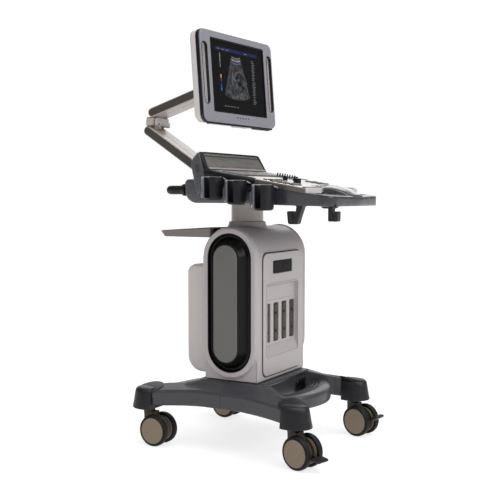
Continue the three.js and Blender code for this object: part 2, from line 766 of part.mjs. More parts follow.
function monitorShell() {
  const edge = panel(monitorOutline(0.5), BEZEL.back + GAP, SHELL_EDGE);
  const dome = panel(rectangle(-130, 130, -90, 80, 30), SHELL_EDGE - 1, SHELL_EDGE + 9);
  const lug = (from, to) =>
    join(prism("x", disc(0, 0, 9), from, to, 8), box(from, to, -24, 0, -9, 9));
  const grips = gripSlots(BEZEL.back, BEZEL.back + 9, 0);
  return join(cut(join(edge, dome), ...grips), lug(-26, -16.4), lug(16.4, 26));
}

function addArm(deckGroup) {
  const turret = pivot("pivot_arm_swivel", 0, 136, 850, deckGroup);
  const foot = new THREE.Group();
  foot.position.set(0, -136, -850);
  turret.add(foot);
  add("arm_base", armBase(), "consoleGrey", foot);

  const lower = pivot("pivot_lower_arm", 0, ...ARM_ROOT, foot);
  const lowerMesh = add("lower_arm", armLink(distance(ARM_ROOT, ELBOW_LOW), 18), "beige", lower);
  lowerMesh.rotation.x = angleOf(ARM_ROOT, ELBOW_LOW);

  pivot("pivot_knuckle", 0, ...ELBOW_LOW, foot);
  add("arm_knuckle", knuckle(), "beige", foot);

  const upper = pivot("pivot_upper_arm", 0, ...ELBOW_HIGH, foot);
  const upperMesh = add("upper_arm", armLink(distance(ELBOW_HIGH, ARM_TIP), 18), "beige", upper);
  upperMesh.rotation.x = angleOf(ELBOW_HIGH, ARM_TIP);

  pivot("pivot_mount", 0, ...ARM_TIP, foot);
  add("monitor_mount", monitorMount(), "beige", foot);
  addMonitor(foot);
}

function addMonitor(foot) {
  const swivel = pivot("pivot_monitor_swivel", 0, SWIVEL_Y, TILT[1], foot);
  swivel.rotation.z = THREE.MathUtils.degToRad(MONITOR_YAW);
  const head = new THREE.Group();
  head.position.y = TILT[0] - SWIVEL_Y;
  swivel.add(head);
  add("monitor_yoke", monitorYoke(), "darkPlastic", head);
  const tilt = pivot("pivot_monitor_tilt", 0, 0, 0, head);
  tilt.rotation.x = -THREE.MathUtils.degToRad(MONITOR_LEAN);
  add("monitor_bezel", monitorBezel(), "bezelGrey", tilt);
  add("monitor_shell", monitorShell(), "shellWhite", tilt);
  const [w, h] = [SCREEN_W / 2, SCREEN_H / 2];
  add("monitor_screen", panel(rectangle(-w, w, -h, h), 0, BEZEL.back - 1), "screenGlass", tilt);
}

// ---------------------------------------------------------------- assembly
addBase();
CORNERS.forEach(addCorner);
addCabinet();
const lift = pivot("pivot_lift", 0, COLUMN_Y, COLUMN_TOP);
const carried = new THREE.Group();
carried.position.set(0, -COLUMN_Y, -COLUMN_TOP);
lift.add(carried);
add("lift_column", liftColumn(), "warmGrey", carried).position.y = COLUMN_Y;
addArm(addConsole(carried));

// The origin is on the floor under the middle of the model's bounding box.
const bounds = new THREE.Box3().setFromObject(machine, true);
machine.position.x = -(bounds.min.x + bounds.max.x) / 2;
machine.position.y = -(bounds.min.y + bounds.max.y) / 2;

const group = new THREE.Group();
group.add(machine);
export default group;
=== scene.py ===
"""Looks for a cart-mounted ultrasound scanner. Shapes are given in millimetres in the cart's own
frame: +Z up, -Y towards the operator, +X to the operator's right."""

import math

import bmesh
import bpy
from mathutils import Matrix, Vector


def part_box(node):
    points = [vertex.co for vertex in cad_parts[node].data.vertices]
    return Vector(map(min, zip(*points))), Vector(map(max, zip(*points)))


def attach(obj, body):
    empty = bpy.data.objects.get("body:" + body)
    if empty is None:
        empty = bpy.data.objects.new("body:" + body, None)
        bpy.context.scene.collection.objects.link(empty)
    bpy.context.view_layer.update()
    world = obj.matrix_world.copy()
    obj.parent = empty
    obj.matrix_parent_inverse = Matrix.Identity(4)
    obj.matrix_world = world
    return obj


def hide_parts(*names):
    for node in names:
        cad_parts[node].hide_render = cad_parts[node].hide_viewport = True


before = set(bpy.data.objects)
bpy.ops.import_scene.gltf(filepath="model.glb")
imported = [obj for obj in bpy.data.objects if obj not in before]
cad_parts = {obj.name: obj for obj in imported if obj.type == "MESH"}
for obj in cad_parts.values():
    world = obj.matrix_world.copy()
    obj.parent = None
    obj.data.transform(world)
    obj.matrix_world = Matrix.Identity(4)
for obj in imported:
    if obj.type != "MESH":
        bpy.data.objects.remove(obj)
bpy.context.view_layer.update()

MM = 0.001
CABINET_FRONT = -107  # the cabinet's front face in the cart's own frame
cabinet_low, cabinet_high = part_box("cabinet_body")
ORIGIN = Vector(((cabinet_low.x + cabinet_high.x) / 2, cabinet_low.y - CABINET_FRONT * MM, 0))
TO_ROW = Matrix.Translation(ORIGIN) @ Matrix.Scale(MM, 4)
TURN = math.radians
SIDES = ((1, "right"), (-1, "left"))


# ---------------------------------------------------------------- shape helpers
def oval_arc(u, v, a, b, start, end, steps):
    """Points on an arc of an ellipse, with its angles in degrees."""
    turns = (TURN(start + (end - start) * i / steps) for i in range(steps + 1))
    return [(u + a * math.cos(t), v + b * math.sin(t)) for t in turns]


def arc(u, v, radius, start, end, steps=12):
    return oval_arc(u, v, radius, radius, start, end, steps)


def rounded(corners, steps=6):
    """Closed outline of (u, v) or (u, v, radius) corners, each radius a true arc."""
    out = []
    count = len(corners)
    for i, corner in enumerate(corners):
        p = Vector(corner[:2])
        radius = corner[2] if len(corner) > 2 else 0
        if radius <= 0:
            out.append(tuple(p))
            continue
        a = (Vector(corners[i - 1][:2]) - p).normalized()
        b = (Vector(corners[(i + 1) % count][:2]) - p).normalized()
        half = a.angle(b) / 2
        reach = radius / math.tan(half)
        centre = p + (a + b).normalized() * radius / math.sin(half)
        first, last = p + a * reach - centre, p + b * reach - centre
        sweep = first.angle_signed(last)
        for k in range(steps + 1):
            turned = first.copy()
            turned.rotate(Matrix.Rotation(-sweep * k / steps, 2))
            out.append(tuple(centre + turned))
    return out


def rect(u0, u1, v0, v1, radius=0.0, steps=6):
    return rounded([(u0, v0, radius), (u1, v0, radius), (u1, v1, radius), (u0, v1, radius)], steps)


def stadium(u, v0, v1, radius, steps=18):
    """Upright capsule between two centres one above the other."""
    return arc(u, v1, radius, 0, 180, steps) + arc(u, v0, radius, 180, 360, steps)


def ellipse(u, v, a, b, steps=48):
    turns = (2 * math.pi * i / steps for i in range(steps))
    return [(u + a * math.cos(t), v + b * math.sin(t)) for t in turns]


def mapped(axis, u, v, w):
    """An outline's u and v and the height w along the axis, as x, y, z."""
    return {"x": (w, u, v), "y": (u, w, v), "z": (u, v, w)}[axis]


def loft(rings, close=True):
    """Skin through closed rings of equally many points."""
    bm = bmesh.new()
    rows = [[bm.verts.new(p) for p in ring] for ring in rings]
    for low, high in zip(rows, rows[1:]):
        for i in range(len(low)):
            j = (i + 1) % len(low)
            bm.faces.new((low[i], low[j], high[j], high[i]))
    if close:
        bm.faces.new(rows[0][::-1])
        bm.faces.new(rows[-1])
    bmesh.ops.recalc_face_normals(bm, faces=bm.faces)
    return bm


def layers(axis, steps):
    """Loft of (outline, height) steps along an axis."""
    return loft([[mapped(axis, u, v, w) for u, v in ring] for ring, w in steps])


def slab(axis, outer, a, b, holes=(), soft=1.0, res=3):
    """Solid between a and b along an axis, with rounded rims."""
    curve = bpy.data.curves.new("slab", "CURVE")
    curve.dimensions = "2D"
    curve.fill_mode = "BOTH"
    for ring in [outer, *holes]:
        spline = curve.splines.new("POLY")
        spline.points.add(len(ring) - 1)
        for point, (u, v) in zip(spline.points, ring):
            point.co = (u, v, 0, 1)
        spline.use_cyclic_u = True
    curve.extrude = abs(b - a) / 2 - soft
    curve.bevel_depth = soft
    curve.bevel_resolution = res
    curve.offset = -soft
    holder = bpy.data.objects.new("slab", curve)
    bpy.context.scene.collection.objects.link(holder)
    bm = bmesh.new()
    mesh = bpy.data.meshes.new_from_object(holder.evaluated_get(bpy.context.evaluated_depsgraph_get()))
    bm.from_mesh(mesh)
    bpy.data.objects.remove(holder)
    bmesh.ops.remove_doubles(bm, verts=bm.verts, dist=1e-3)
    middle = (a + b) / 2
    for vert in bm.verts:
        vert.co = mapped(axis, vert.co.x, vert.co.y, vert.co.z + middle)
    bmesh.ops.recalc_face_normals(bm, faces=bm.faces)
    return bm


def lathe(axis, profile, segments=64, centre=(0, 0, 0)):
    """Turns (radius, height) points about an axis; a radius of 0 closes an end."""
    bm = bmesh.new()
    rows = []
    for radius, height in profile:
        if radius <= 1e-6:
            rows.append([bm.verts.new(mapped(axis, 0, 0, height))])
            continue
        rows.append([bm.verts.new(mapped(axis, u, v, height))
                     for u, v in ellipse(0, 0, radius, radius, segments)])
    for low, high in zip(rows, rows[1:] + ([rows[0]] if profile[0][0] > 1e-6 else [])):
        for i in range(segments):
            j = (i + 1) % segments
            corners = [low[i % len(low)], low[j % len(low)], high[j % len(high)], high[i % len(high)]]
            unique = list(dict.fromkeys(corners))
            if len(unique) > 2:
                bm.faces.new(unique)
    bmesh.ops.recalc_face_normals(bm, faces=bm.faces)
    bmesh.ops.translate(bm, verts=bm.verts, vec=centre)
    return bm


def cylinder(axis, radius, a, b, segments, centre=(0, 0, 0)):
    return lathe(axis, [(0, a), (radius, a), (radius, b), (0, b)], segments, centre)


def block(x0, x1, y0, y1, z0, z1, soft=1.0, res=3):
    """Box with every edge rounded."""
    bm = bmesh.new()
    size = Matrix.Diagonal((x1 - x0, y1 - y0, z1 - z0, 1))
    bmesh.ops.create_cube(bm, size=1, matrix=Matrix.Translation(((x0 + x1) / 2, (y0 + y1) / 2,
        (z0 + z1) / 2)) @ size)
    if soft > 0:
        bmesh.ops.bevel(bm, geom=bm.edges[:], offset=soft, segments=res, profile=0.5, affect="EDGES")
    return bm


def rod(points, radius, segments=20):
    """Round bar along a line of points, with one radius or one for each point."""
    path = [Vector(p) for p in points]
    rings = []
    side = None
    for i, p in enumerate(path):
        ahead = (path[min(i + 1, len(path) - 1)] - path[max(i - 1, 0)]).normalized()
        if side is None:
            side = ahead.cross(Vector((0, 0, 1) if abs(ahead.z) < 0.9 else (1, 0, 0))).normalized()
        side = (side - ahead * side.dot(ahead)).normalized()
        other = ahead.cross(side)
        scale = radius[i] if isinstance(radius, (list, tuple)) else radius
        turns = [2 * math.pi * k / segments for k in range(segments)]
        rings.append([p + side * math.cos(t) * scale + other * math.sin(t) * scale for t in turns])
    return loft(rings)


def bend(points, radius, steps=8):
    """The same line of points with its corners rounded."""
    out = [Vector(points[0])]
    for before, corner, after in zip(points, points[1:], points[2:]):
        p = Vector(corner)
        a, b = (Vector(before) - p).normalized(), (Vector(after) - p).normalized()
        start, end = p + a * radius, p + b * radius
        for k in range(steps + 1):
            t = k / steps
            out.append(start * (1 - t) ** 2 + p * 2 * t * (1 - t) + end * t * t)
    out.append(Vector(points[-1]))
    return out


def merged(*parts):
    """One bmesh of several, side by side."""
    target = parts[0]
    for part in parts[1:]:
        mesh = bpy.data.meshes.new("part")
        part.to_mesh(mesh)
        target.from_mesh(mesh)
        bpy.data.meshes.remove(mesh)
    return target


def shift(x, y, z):
    return Matrix.Translation((x, y, z))


def moved(bm, matrix):
    bm.transform(matrix)
    if matrix.determinant() < 0:
        bmesh.ops.reverse_faces(bm, faces=bm.faces)
    return bm


def mirrored(bm):
    return moved(bm.copy(), Matrix.Diagonal((-1, 1, 1, 1)))


def worked(bm, *modifiers):
    """The bmesh after modifiers, each given as (type, {setting: value})."""
    mesh = bpy.data.meshes.new("work")
    bm.to_mesh(mesh)
    holder = bpy.data.objects.new("work", mesh)
    bpy.context.scene.collection.objects.link(holder)
    for kind, settings in modifiers:
        modifier = holder.modifiers.new(kind, kind)
        for name, value in settings.items():
            setattr(modifier, name, value)
    result = bmesh.new()
    result.from_mesh(holder.evaluated_get(bpy.context.evaluated_depsgraph_get()).to_mesh())
    bpy.data.objects.remove(holder)
    return result


def cast(bm, voxel, rounds, share=0.5):
    """Overlapping solids fused into one and smoothed, as a casting or moulding is."""
    return worked(
        bm,
        ("REMESH", {"mode": "VOXEL", "voxel_size": voxel}),
        ("SMOOTH", {"factor": share, "iterations": rounds}),
    )


def combined(bm, tool, operation):
    """bm after a boolean with the tool's solid."""
    mesh = bpy.data.meshes.new("tool")
    tool.to_mesh(mesh)
    holder = bpy.data.objects.new("tool", mesh)
    bpy.context.scene.collection.objects.link(holder)
    result = worked(bm, ("BOOLEAN", {"operation": operation, "object": holder, "solver": "EXACT"}))
    bpy.data.objects.remove(holder)
    return result


def carve(bm, tool):
    return combined(bm, tool, "DIFFERENCE")


def piece(name, bm, body, slot, look, replaces=(), sharp=38, local=None):
    """Puts a finished shape in the scene: it rides on a body and may stand for CAD nodes. Edges
    sharper than the given angle stay crisp, and local is the shape's own place in the cart."""
    if local is not None:
        moved(bm, local)
    bm.transform(TO_ROW)
    for face in bm.faces:
        face.smooth = True
    for edge in bm.edges:
        edge.smooth = len(edge.link_faces) != 2 or edge.calc_face_angle(0) < TURN(sharp)
    mesh = bpy.data.meshes.new(name)
    bm.to_mesh(mesh)
    bm.free()
    mesh.materials.append(LOOKS[look])
    shown = bpy.data.objects.new(name, mesh)
    bpy.context.scene.collection.objects.link(shown)
    even = shown.modifiers.new("even", "WEIGHTED_NORMAL")
    even.keep_sharp = True
    even.weight = 100
    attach(shown, body)
    if replaces:
        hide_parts(*replaces)


def put(body, *rows, local=None):
    """Pieces of one body, each row (name, shape, slot, look) with any replaced nodes and angle."""
    for name, bm, slot, look, *more in rows:
        piece(name, bm, body, slot, look, *more, local=local)


# ---------------------------------------------------------------- materials
def shade(r, g, b):
    """Linear colour from 0-255 display values."""
    return tuple(((c / 255 + 0.055) / 1.055) ** 2.4 if c > 10 else c / 255 / 12.92 for c in (r, g, b)) + (1.0,
        )


def node(tree, kind, inputs, **settings):
    """New shader node. Each input is a plain value or another node's output."""
    made = tree.nodes.new("ShaderNode" + kind)
    for name, value in settings.items():
        setattr(made, name, value)
    for name, value in inputs.items():
        if isinstance(value, bpy.types.NodeSocket):
            tree.links.new(value, made.inputs[name])
        else:
            made.inputs[name].default_value = value
    return made


def new_look(name, inputs):
    look = bpy.data.materials.new(name)
    look.use_nodes = True
    shader = look.node_tree.nodes["Principled BSDF"]
    for key, value in inputs.items():
        shader.inputs[key].default_value = value
    return look, look.node_tree, shader


def noise(tree, where, scale, detail):
    return node(tree, "TexNoise", {"Vector": where, "Scale": scale, "Detail": detail}).outputs["Fac"]


def blend(tree, low, high, share):
    mixed = node(tree, "Mix", {"A": low, "B": high, "Factor": share}, data_type="RGBA")
    return mixed.outputs["Result"]


def ramp(tree, value, **ends):
    """Straight map of a value, its ends given as From_Min and so on."""
    inputs = {key.replace("_", " "): end for key, end in ends.items()}
    return node(tree, "MapRange", {"Value": value, **inputs}).outputs["Result"]


def tinted(colour, factor, extra=0.0):
    return [min(1, c * factor + extra) for c in colour[:3]] + [1]


def surface(name, colour, rough, metallic=0.0, mottle=0.08, grain=900.0, bump=0.08, rough_swing=0.08,
            stretch=(1, 1, 1), coat=0.0, edge_highlight=0.0, shine=0.5):
    """Moulded or painted surface: slow colour drift, fine grain in the relief, uneven gloss and, where asked,
    a painted highlight that lightens its sharp edges.
    """
    look, tree, shader = new_look(name, {
        "Metallic": metallic, "Coat Weight": coat, "Specular IOR Level": shine, "Coat Roughness": 0.12,
    })
    place = node(tree, "TexCoord", {}).outputs["Object"]
    place = node(tree, "Mapping", {"Vector": place, "Scale": stretch}).outputs["Vector"]
    drift = noise(tree, place, 9.0, 5.0)
    paint = blend(tree, tinted(colour, 1 - mottle), tinted(colour, 1 + mottle), drift)
    # Painted highlight: sharp convex edges, found by pointiness, are blended towards a much lighter copy of
    # the colour.
    if edge_highlight > 0:
        edges = node(tree, "NewGeometry", {}).outputs["Pointiness"]
        highlight_share = ramp(tree, edges, From_Min=0.52, From_Max=0.62, To_Max=edge_highlight)
        paint = blend(tree, paint, tinted(colour, 2.2, 0.05), highlight_share)
    tree.links.new(paint, shader.inputs["Base Color"])
    gloss = ramp(tree, drift, To_Min=max(0.03, rough - rough_swing), To_Max=rough + rough_swing)
    tree.links.new(gloss, shader.inputs["Roughness"])
    fine = noise(tree, place, grain, 3.0)
    relief = node(tree, "Bump", {"Strength": bump, "Distance": 0.0004, "Height": fine})
    tree.links.new(relief.outputs["Normal"], shader.inputs["Normal"])
    return look


def glow(name, colour, strength, speckle=0.0, scale=90.0, low=0.0):
    """Lit picture element: its brightness is a noise pattern in the element's own coordinates."""
    look, tree, shader = new_look(name, {
        "Base Color": (0.004, 0.004, 0.005, 1), "Roughness": 0.4, "Specular IOR Level": 0.1,
        "Emission Strength": strength,
    })
    spread = 0.5 * max(0.05, 1 - speckle)
    grain = noise(tree, node(tree, "TexCoord", {}).outputs["Object"], scale, 8.0)
    lit = ramp(tree, grain, From_Min=0.5 - spread, From_Max=0.5 + spread, To_Min=low, To_Max=1.0)
    tree.links.new(blend(tree, tinted(colour, 0.05), tinted(colour, 1), lit), shader.inputs["Emission Color"])
    return look


LOOKS = {
    "base_grey": surface("base_grey_enamel", shade(57, 57, 61), 0.42, coat=0.3, edge_highlight=0.2, shine=0.3),
    "cap_dark": surface("cap_charcoal", shade(27, 27, 30), 0.42, grain=1400, bump=0.1, edge_highlight=0.2, shine=0.3),
    "taupe": surface("taupe_nylon", shade(126, 112, 94), 0.48, grain=1600, bump=0.12, shine=0.35),
    "taupe_dark": surface("taupe_shadow", shade(70, 62, 50), 0.55, grain=1600, bump=0.12, shine=0.3),
    "tread": surface("tread_rubber", shade(16, 16, 17), 0.6, grain=2000, bump=0.2, mottle=0.2, shine=0.25),
    "body_grey": surface("cabinet_shell", shade(172, 165, 166), 0.4, grain=1500, bump=0.05, mottle=0.03,
                         coat=0.15),
    "window": surface("window_black", shade(12, 12, 14), 0.4, bump=0.02, shine=0.08),
    "window_tile": surface("window_tile", shade(30, 30, 32), 0.5, bump=0.03, shine=0.08),
    "cover_grey": surface("rear_cover_shell", shade(190, 183, 182), 0.4, grain=1500, bump=0.05, mottle=0.03,
                          coat=0.1),
    # painted highlight: a lighter copy of the console grey for the brackets' top lips
    "console_edge_highlight": surface("console_edge_highlight", shade(140, 141, 149), 0.26, coat=0.6, bump=0.03),
    "gap": surface("seam_shadow", shade(58, 55, 56), 0.8),
    "seam": surface("seam_line", shade(112, 105, 105), 0.7),
    "ring_dark": surface("side_dish_black", shade(8, 8, 9), 0.36, bump=0.04, coat=0.1, shine=0.15),
    "plate": surface("side_plate_grey", shade(100, 99, 96), 0.42, grain=1800, bump=0.08, shine=0.3),
    "connector": surface("connector_shell", shade(62, 57, 51), 0.5, shine=0.3),
    "black": surface("black_plastic", shade(12, 12, 15), 0.36, mottle=0.15, coat=0.15, shine=0.3),
    "soft_black": surface("soft_black_rubber", shade(18, 18, 23), 0.46, grain=1900, bump=0.14, mottle=0.15,
                          shine=0.3),
    "column": surface("column_paint", shade(170, 161, 158), 0.32, coat=0.3, mottle=0.03, bump=0.03),
    "console": surface("console_grey", shade(74, 75, 81), 0.3, coat=0.6, edge_highlight=0.4, bump=0.04, shine=0.3),
    "console_dark": surface("console_charcoal", shade(50, 50, 55), 0.32, coat=0.6, edge_highlight=0.35, bump=0.04,
                            shine=0.3),
    "silver": surface("deck_silver", shade(168, 161, 158), 0.34, metallic=0.3, grain=2400, bump=0.06,
                      mottle=0.06),
    "end_face": surface("deck_end", shade(205, 199, 198), 0.4, grain=1200, bump=0.1, mottle=0.04),
    "trim": surface("trim_metal", shade(92, 84, 79), 0.3, metallic=0.3, mottle=0.1, stretch=(4, 0.3, 4),
                    coat=0.3),
    "panel": surface("touch_surface", shade(100, 97, 93), 0.28, mottle=0.45, grain=300, bump=0.05, coat=0.5,
                     stretch=(1.2, 7, 7)),
    "key": surface("key_grey", shade(52, 48, 47), 0.42, mottle=0.2),
    "key_pale": surface("key_pale", shade(140, 135, 132), 0.45, mottle=0.1),
    "arm": surface("arm_beige", shade(176, 166, 158), 0.36, mottle=0.03, grain=1500, bump=0.05, coat=0.2),
    "inlay": surface("arm_inlay", shade(66, 62, 58), 0.46, grain=1800, bump=0.1, mottle=0.06, shine=0.35),
    "bezel": surface("bezel_grey", shade(133, 132, 140), 0.32, mottle=0.03, bump=0.04, coat=0.3, edge_highlight=0.6),
    "shell": surface("monitor_shell_white", shade(206, 200, 199), 0.4, mottle=0.02, bump=0.04),
    "gasket": surface("monitor_gasket", shade(10, 10, 13), 0.28, mottle=0.1, coat=0.3, shine=0.3),
    "steel": surface("tray_metal", shade(112, 106, 102), 0.3, metallic=0.7, stretch=(0.15, 4, 4), bump=0.05),
    "zinc": surface("rack_zinc", shade(150, 150, 152), 0.4, metallic=0.9),
    "display": surface("display_black", shade(12, 12, 14), 0.3, bump=0, mottle=0.2, shine=0.15),
    "echo": glow("echo_grey", (0.085, 0.088, 0.095), 1.0, speckle=0.6, scale=70.0),
    "echo_bright": glow("echo_bright", (0.4, 0.41, 0.43), 0.9, speckle=0.5, scale=120.0, low=0.15),
    "tissue": glow("echo_tissue", (0.15, 0.15, 0.16), 0.9, speckle=0.55, scale=110.0, low=0.05),
    "title": glow("title_blue", (0.015, 0.025, 0.1), 1.0, speckle=0.3, scale=30.0, low=0.3),
    "marks": glow("marks_pale", (0.24, 0.25, 0.26), 1.0, speckle=0.5, scale=300.0, low=0.1),
    "bar_yellow": glow("bar_yellow", (0.75, 0.62, 0.2), 0.8, scale=60.0, low=0.5),
    "bar_red": glow("bar_red", (0.4, 0.06, 0.03), 0.7, scale=60.0, low=0.5),
    "bar_blue": glow("bar_blue", (0.03, 0.09, 0.6), 0.8, scale=60.0, low=0.5),
    "bar_cyan": glow("bar_cyan", (0.06, 0.26, 0.46), 0.8, scale=60.0, low=0.5),
}

# Each caster: the leg end's x and y, its turn, and how far its brake pedal is pressed, if it has one.
CORNERS = {
    "front_left": (-219, -262, -14, -18),
    "front_right": (219, -262, -13, 18),
    "rear_left": (-219, 257, 0, None),
    "rear_right": (219, 257, -5, None),
}
SEAM_Y = -8
WHEEL = (-34, 50)  # y and z of a wheel pair's axle, from the swivel
LEG_FRONT, LEG_REAR = -234.4, 229.4


# ---------------------------------------------------------------- base
def leg_section(y):
    """Cross-section of the right leg at y, as (x, z) points."""
    waist = 1 - (y / 262) ** 2
    arch = 1 - (y / 270) ** 2
    outer, inner = 257 - 39 * waist, 190 - 40 * waist
    bottom = 123 + 15 * arch
    top_out = 174 + 18 * arch
    top_in = top_out + 0.28 * (outer - inner)
    return rounded(
        [(inner, bottom, 7), (outer - 3, bottom, 8), (outer, top_out - 4, 9), (inner + 4, top_in, 12)], 4
    )


def hub_section(side, y):
    """Half of the hub across one leg at y: a shoulder that sinks into the leg towards its end."""
    away = abs(y) - (60 if y > 0 else 80)
    sink = min(1, max(0, away / 145))
    sink = sink * sink * (3 - 2 * sink)
    leg = leg_section(y)
    leg_out = max(x for x, _ in leg)
    leg_top = max(z for _, z in leg)
    full = [(222, 140), (222, 184), (217, 189.5), (208, 193), (194, 200), (183, 208), (172, 214),
            (160, 217.3), (122, 217.3), (122, 140)]
    shares = [0, 0, 0.08, 0.2, 0.36, 0.5, 0.64, 0.78, 0.97, 0.97]
    edge = [(leg_out - 1.5 - share * 66, 140 if i in (0, 9) else leg_top - 20 + 18 * share)
            for i, share in enumerate(shares)]
    return [(side * (u * (1 - sink) + v * sink), y, a * (1 - sink) + b * sink)
            for (u, a), (v, b) in zip(full, edge)]


def base_casting():
    parts = []
    stations = [LEG_FRONT + (LEG_REAR - LEG_FRONT) * i / 30 for i in range(31)]
    for side in (1, -1):
        parts.append(loft([[(side * x, y, z) for x, z in leg_section(y)] for y in stations]))
        parts.append(loft([hub_section(side, -224 + 436 * i / 40) for i in range(41)]))
    parts.append(layers("y", [(rect(-150, 150, 140, 217, 3), y) for y in (-122, 100)]))
    ledge = rounded([(-122, 205, 2), (-131, 209, 2), (-131, 217, 2), (-122, 217.3)])
    parts.append(layers("x", [(ledge, -150), (ledge, 150)]))
    solid = cast(merged(*parts), 2.2, 3)
    halves = []
    for keep_front in (True, False):
        half = solid.copy()
        edge = SEAM_Y - 0.45 if keep_front else SEAM_Y + 0.45
        cut = bmesh.ops.bisect_plane(
            half, geom=half.verts[:] + half.edges[:] + half.faces[:], plane_co=(0, edge, 0),
            plane_no=(0, 1, 0), clear_outer=keep_front, clear_inner=not keep_front,
        )
        rim = [e for e in cut["geom_cut"] if isinstance(e, bmesh.types.BMEdge)]
        bmesh.ops.contextual_create(half, geom=rim)
        halves.append(half)
    return halves


def hub_shadow_patch():
    """Painted shadow: a dark patch on the hub's front wall, inside the footrest's opening, where deep shade
    falls between the hub and the far leg.
    """
    return slab("y", rect(70, 160, 146, 190, 12), -128.4, -118, soft=2.5)


def footrest():
    """Curved tread between the front legs, with grooves running along it."""
    centre_y, outer, hole = -29, 230, (215, 143)
    section = [(0, 142), (0, 172), (0.02, 175.5)]
    for g in (0.16, 0.32, 0.48):
        section += [(g - 0.03, 176 + 10 * g), (g - 0.018, 173 + 10 * g), (g + 0.018, 173 + 10 * g),
                    (g + 0.03, 176.4 + 10 * g)]
    section += [(0.62, 183), (0.82, 183.5), (0.93, 181), (0.985, 176), (1, 169), (1, 146), (0.97, 141)]
    rings = []
    for i in range(61):
        turn = TURN(-158 + 136 * i / 60)
        c, s = math.cos(turn), math.sin(turn)
        inner = 1 / math.hypot(c / hole[0], s / hole[1])
        reach = [inner + (outer - inner) * t for t, z in section]
        rings.append([(c * r, centre_y + s * r, z) for r, (t, z) in zip(reach, section)])
    return loft(rings)


def leg_cap(y_sign):
    """Flared cap over the end of a leg: round end, flat back, and a crown that laps onto the leg."""
    back = -27.4
    steps = []
    for z, half, reach in ((117, 46, 56), (118, 47.5, 57.5), (121, 47.5, 57.5), (140, 44.5, 53.5),
                           (165, 41, 49.5), (176, 38.5, 47), (182, 33, 41), (185, 20, 26)):
        corner = [(0.96, back * 0.6), (0.86, back + 1.2), (0.8, back)]
        ring = oval_arc(0, 0, half, reach, -2, 182, 36) + [(-half * u, v) for u, v in corner]
        steps.append((ring + [(half * u, v) for u, v in corner[::-1]], z))
    skirt = layers("z", steps)
    crown = []
    for share, rise in ((0.9, -9), (1.0, -3), (1.0, -0.6), (0.985, 0.7), (0.95, 1.6), (0.8, 2.6), (0.5, 3.2),
                        (0.12, 3.4)):
        oval = ellipse(0, 0, 39 * share, 47 * share)
        crown.append([(u, v - 2, 182 + rise - 0.29 * u - 0.1 * v) for u, v in oval])
    cap = merged(skirt, loft(crown))
    return cap if y_sign > 0 else moved(cap, Matrix.Diagonal((1, -1, 1, 1)))


def fork(braked):
    """Web and hood between the wheel discs, with the round stem under the cap."""
    hood = arc(*WHEEL, 41.5, 292, 372, 14) + [(11, 66), (14, 78), (14, 103), (-27, 103), (-33, 91.5)]
    hood += arc(*WHEEL, 41.5, 92, 216, 22)
    if braked:
        parts = [slab("x", hood, 5.4, 13, soft=1.6), slab("x", hood, -13, -5.4, soft=1.6)]
        middle = arc(*WHEEL, 41.3, 330, 372, 8) + [(11, 66), (13.7, 78), (13.7, 102.8), (-27, 102.8),
            (-33, 91)]
        middle += arc(*WHEEL, 41.3, 92, 100, 4) + [(-41, 50), (-20, 20)]
        parts.append(slab("x", middle, -6, 6, soft=0.4))
    else:
        parts = [slab("x", hood, -13, 13, soft=2.5)]
    parts.append(lathe("z", [(0, 99), (17.5, 99), (17.5, 112), (16.8, 113.4), (16.8, 116.4), (0, 116.4)], 40))
    neck = [(rect(-14, 14, -28, 14, 6), 84), (rect(-15.5, 15.5, -30, 15, 7), 97),
            (rect(-16, 16, -30, 16, 8), 106)]
    parts.append(layers("z", neck))
    return merged(*parts)


def wheel_tyres():
    tread = [(41, 17), (44, 15.9), (47, 15.7), (49, 17), (50, 20), (50, 30), (49.2, 33.6), (47, 36.2),
             (44.4, 37.2), (42.6, 37.0), (41.4, 35.4)]
    rings = [lathe("x", [(r, side * x) for r, x in tread], 72, (0, *WHEEL)) for side in (1, -1)]
    return merged(*rings)


def wheel_covers():
    cover = [(0, 15.6), (39, 15.6), (41.3, 17.4), (41.3, 35.2), (41, 36.6), (39.8, 37.5), (34, 38.0),
             (18, 38.3), (17.2, 38.0), (16.4, 38.3), (0, 38.4)]
    discs = [lathe("x", [(r, side * x) for r, x in cover], 72, (0, *WHEEL)) for side in (1, -1)]
    return merged(*discs, cylinder("x", 4.9, -16, 16, 24, (0, *WHEEL)))


def pedal():
    """Brake lever in its own frame: it points to -Y from the pivot."""
    lever = rounded([(6, -6, 5), (6, 6, 5), (-33, 5, 2), (-36, -5, 2)])
    tread = rounded([(-30, -5.5, 1.5), (-31, 4.5, 2.5), (-57, 9.5, 3), (-62.5, 7, 2.4), (-59, 0.5, 4)])
    parts = [slab("x", lever, -4.8, 4.8, soft=1.2), slab("x", tread, -20, 20, soft=2.4)]
    for i in range(5):
        y = -37 - 4.4 * i
        parts.append(block(-16, 16, y - 0.8, y + 0.8, 5 - 0.19 * (y + 31), 7.2 - 0.19 * (y + 31), 0.5, 2))
    return merged(*parts)


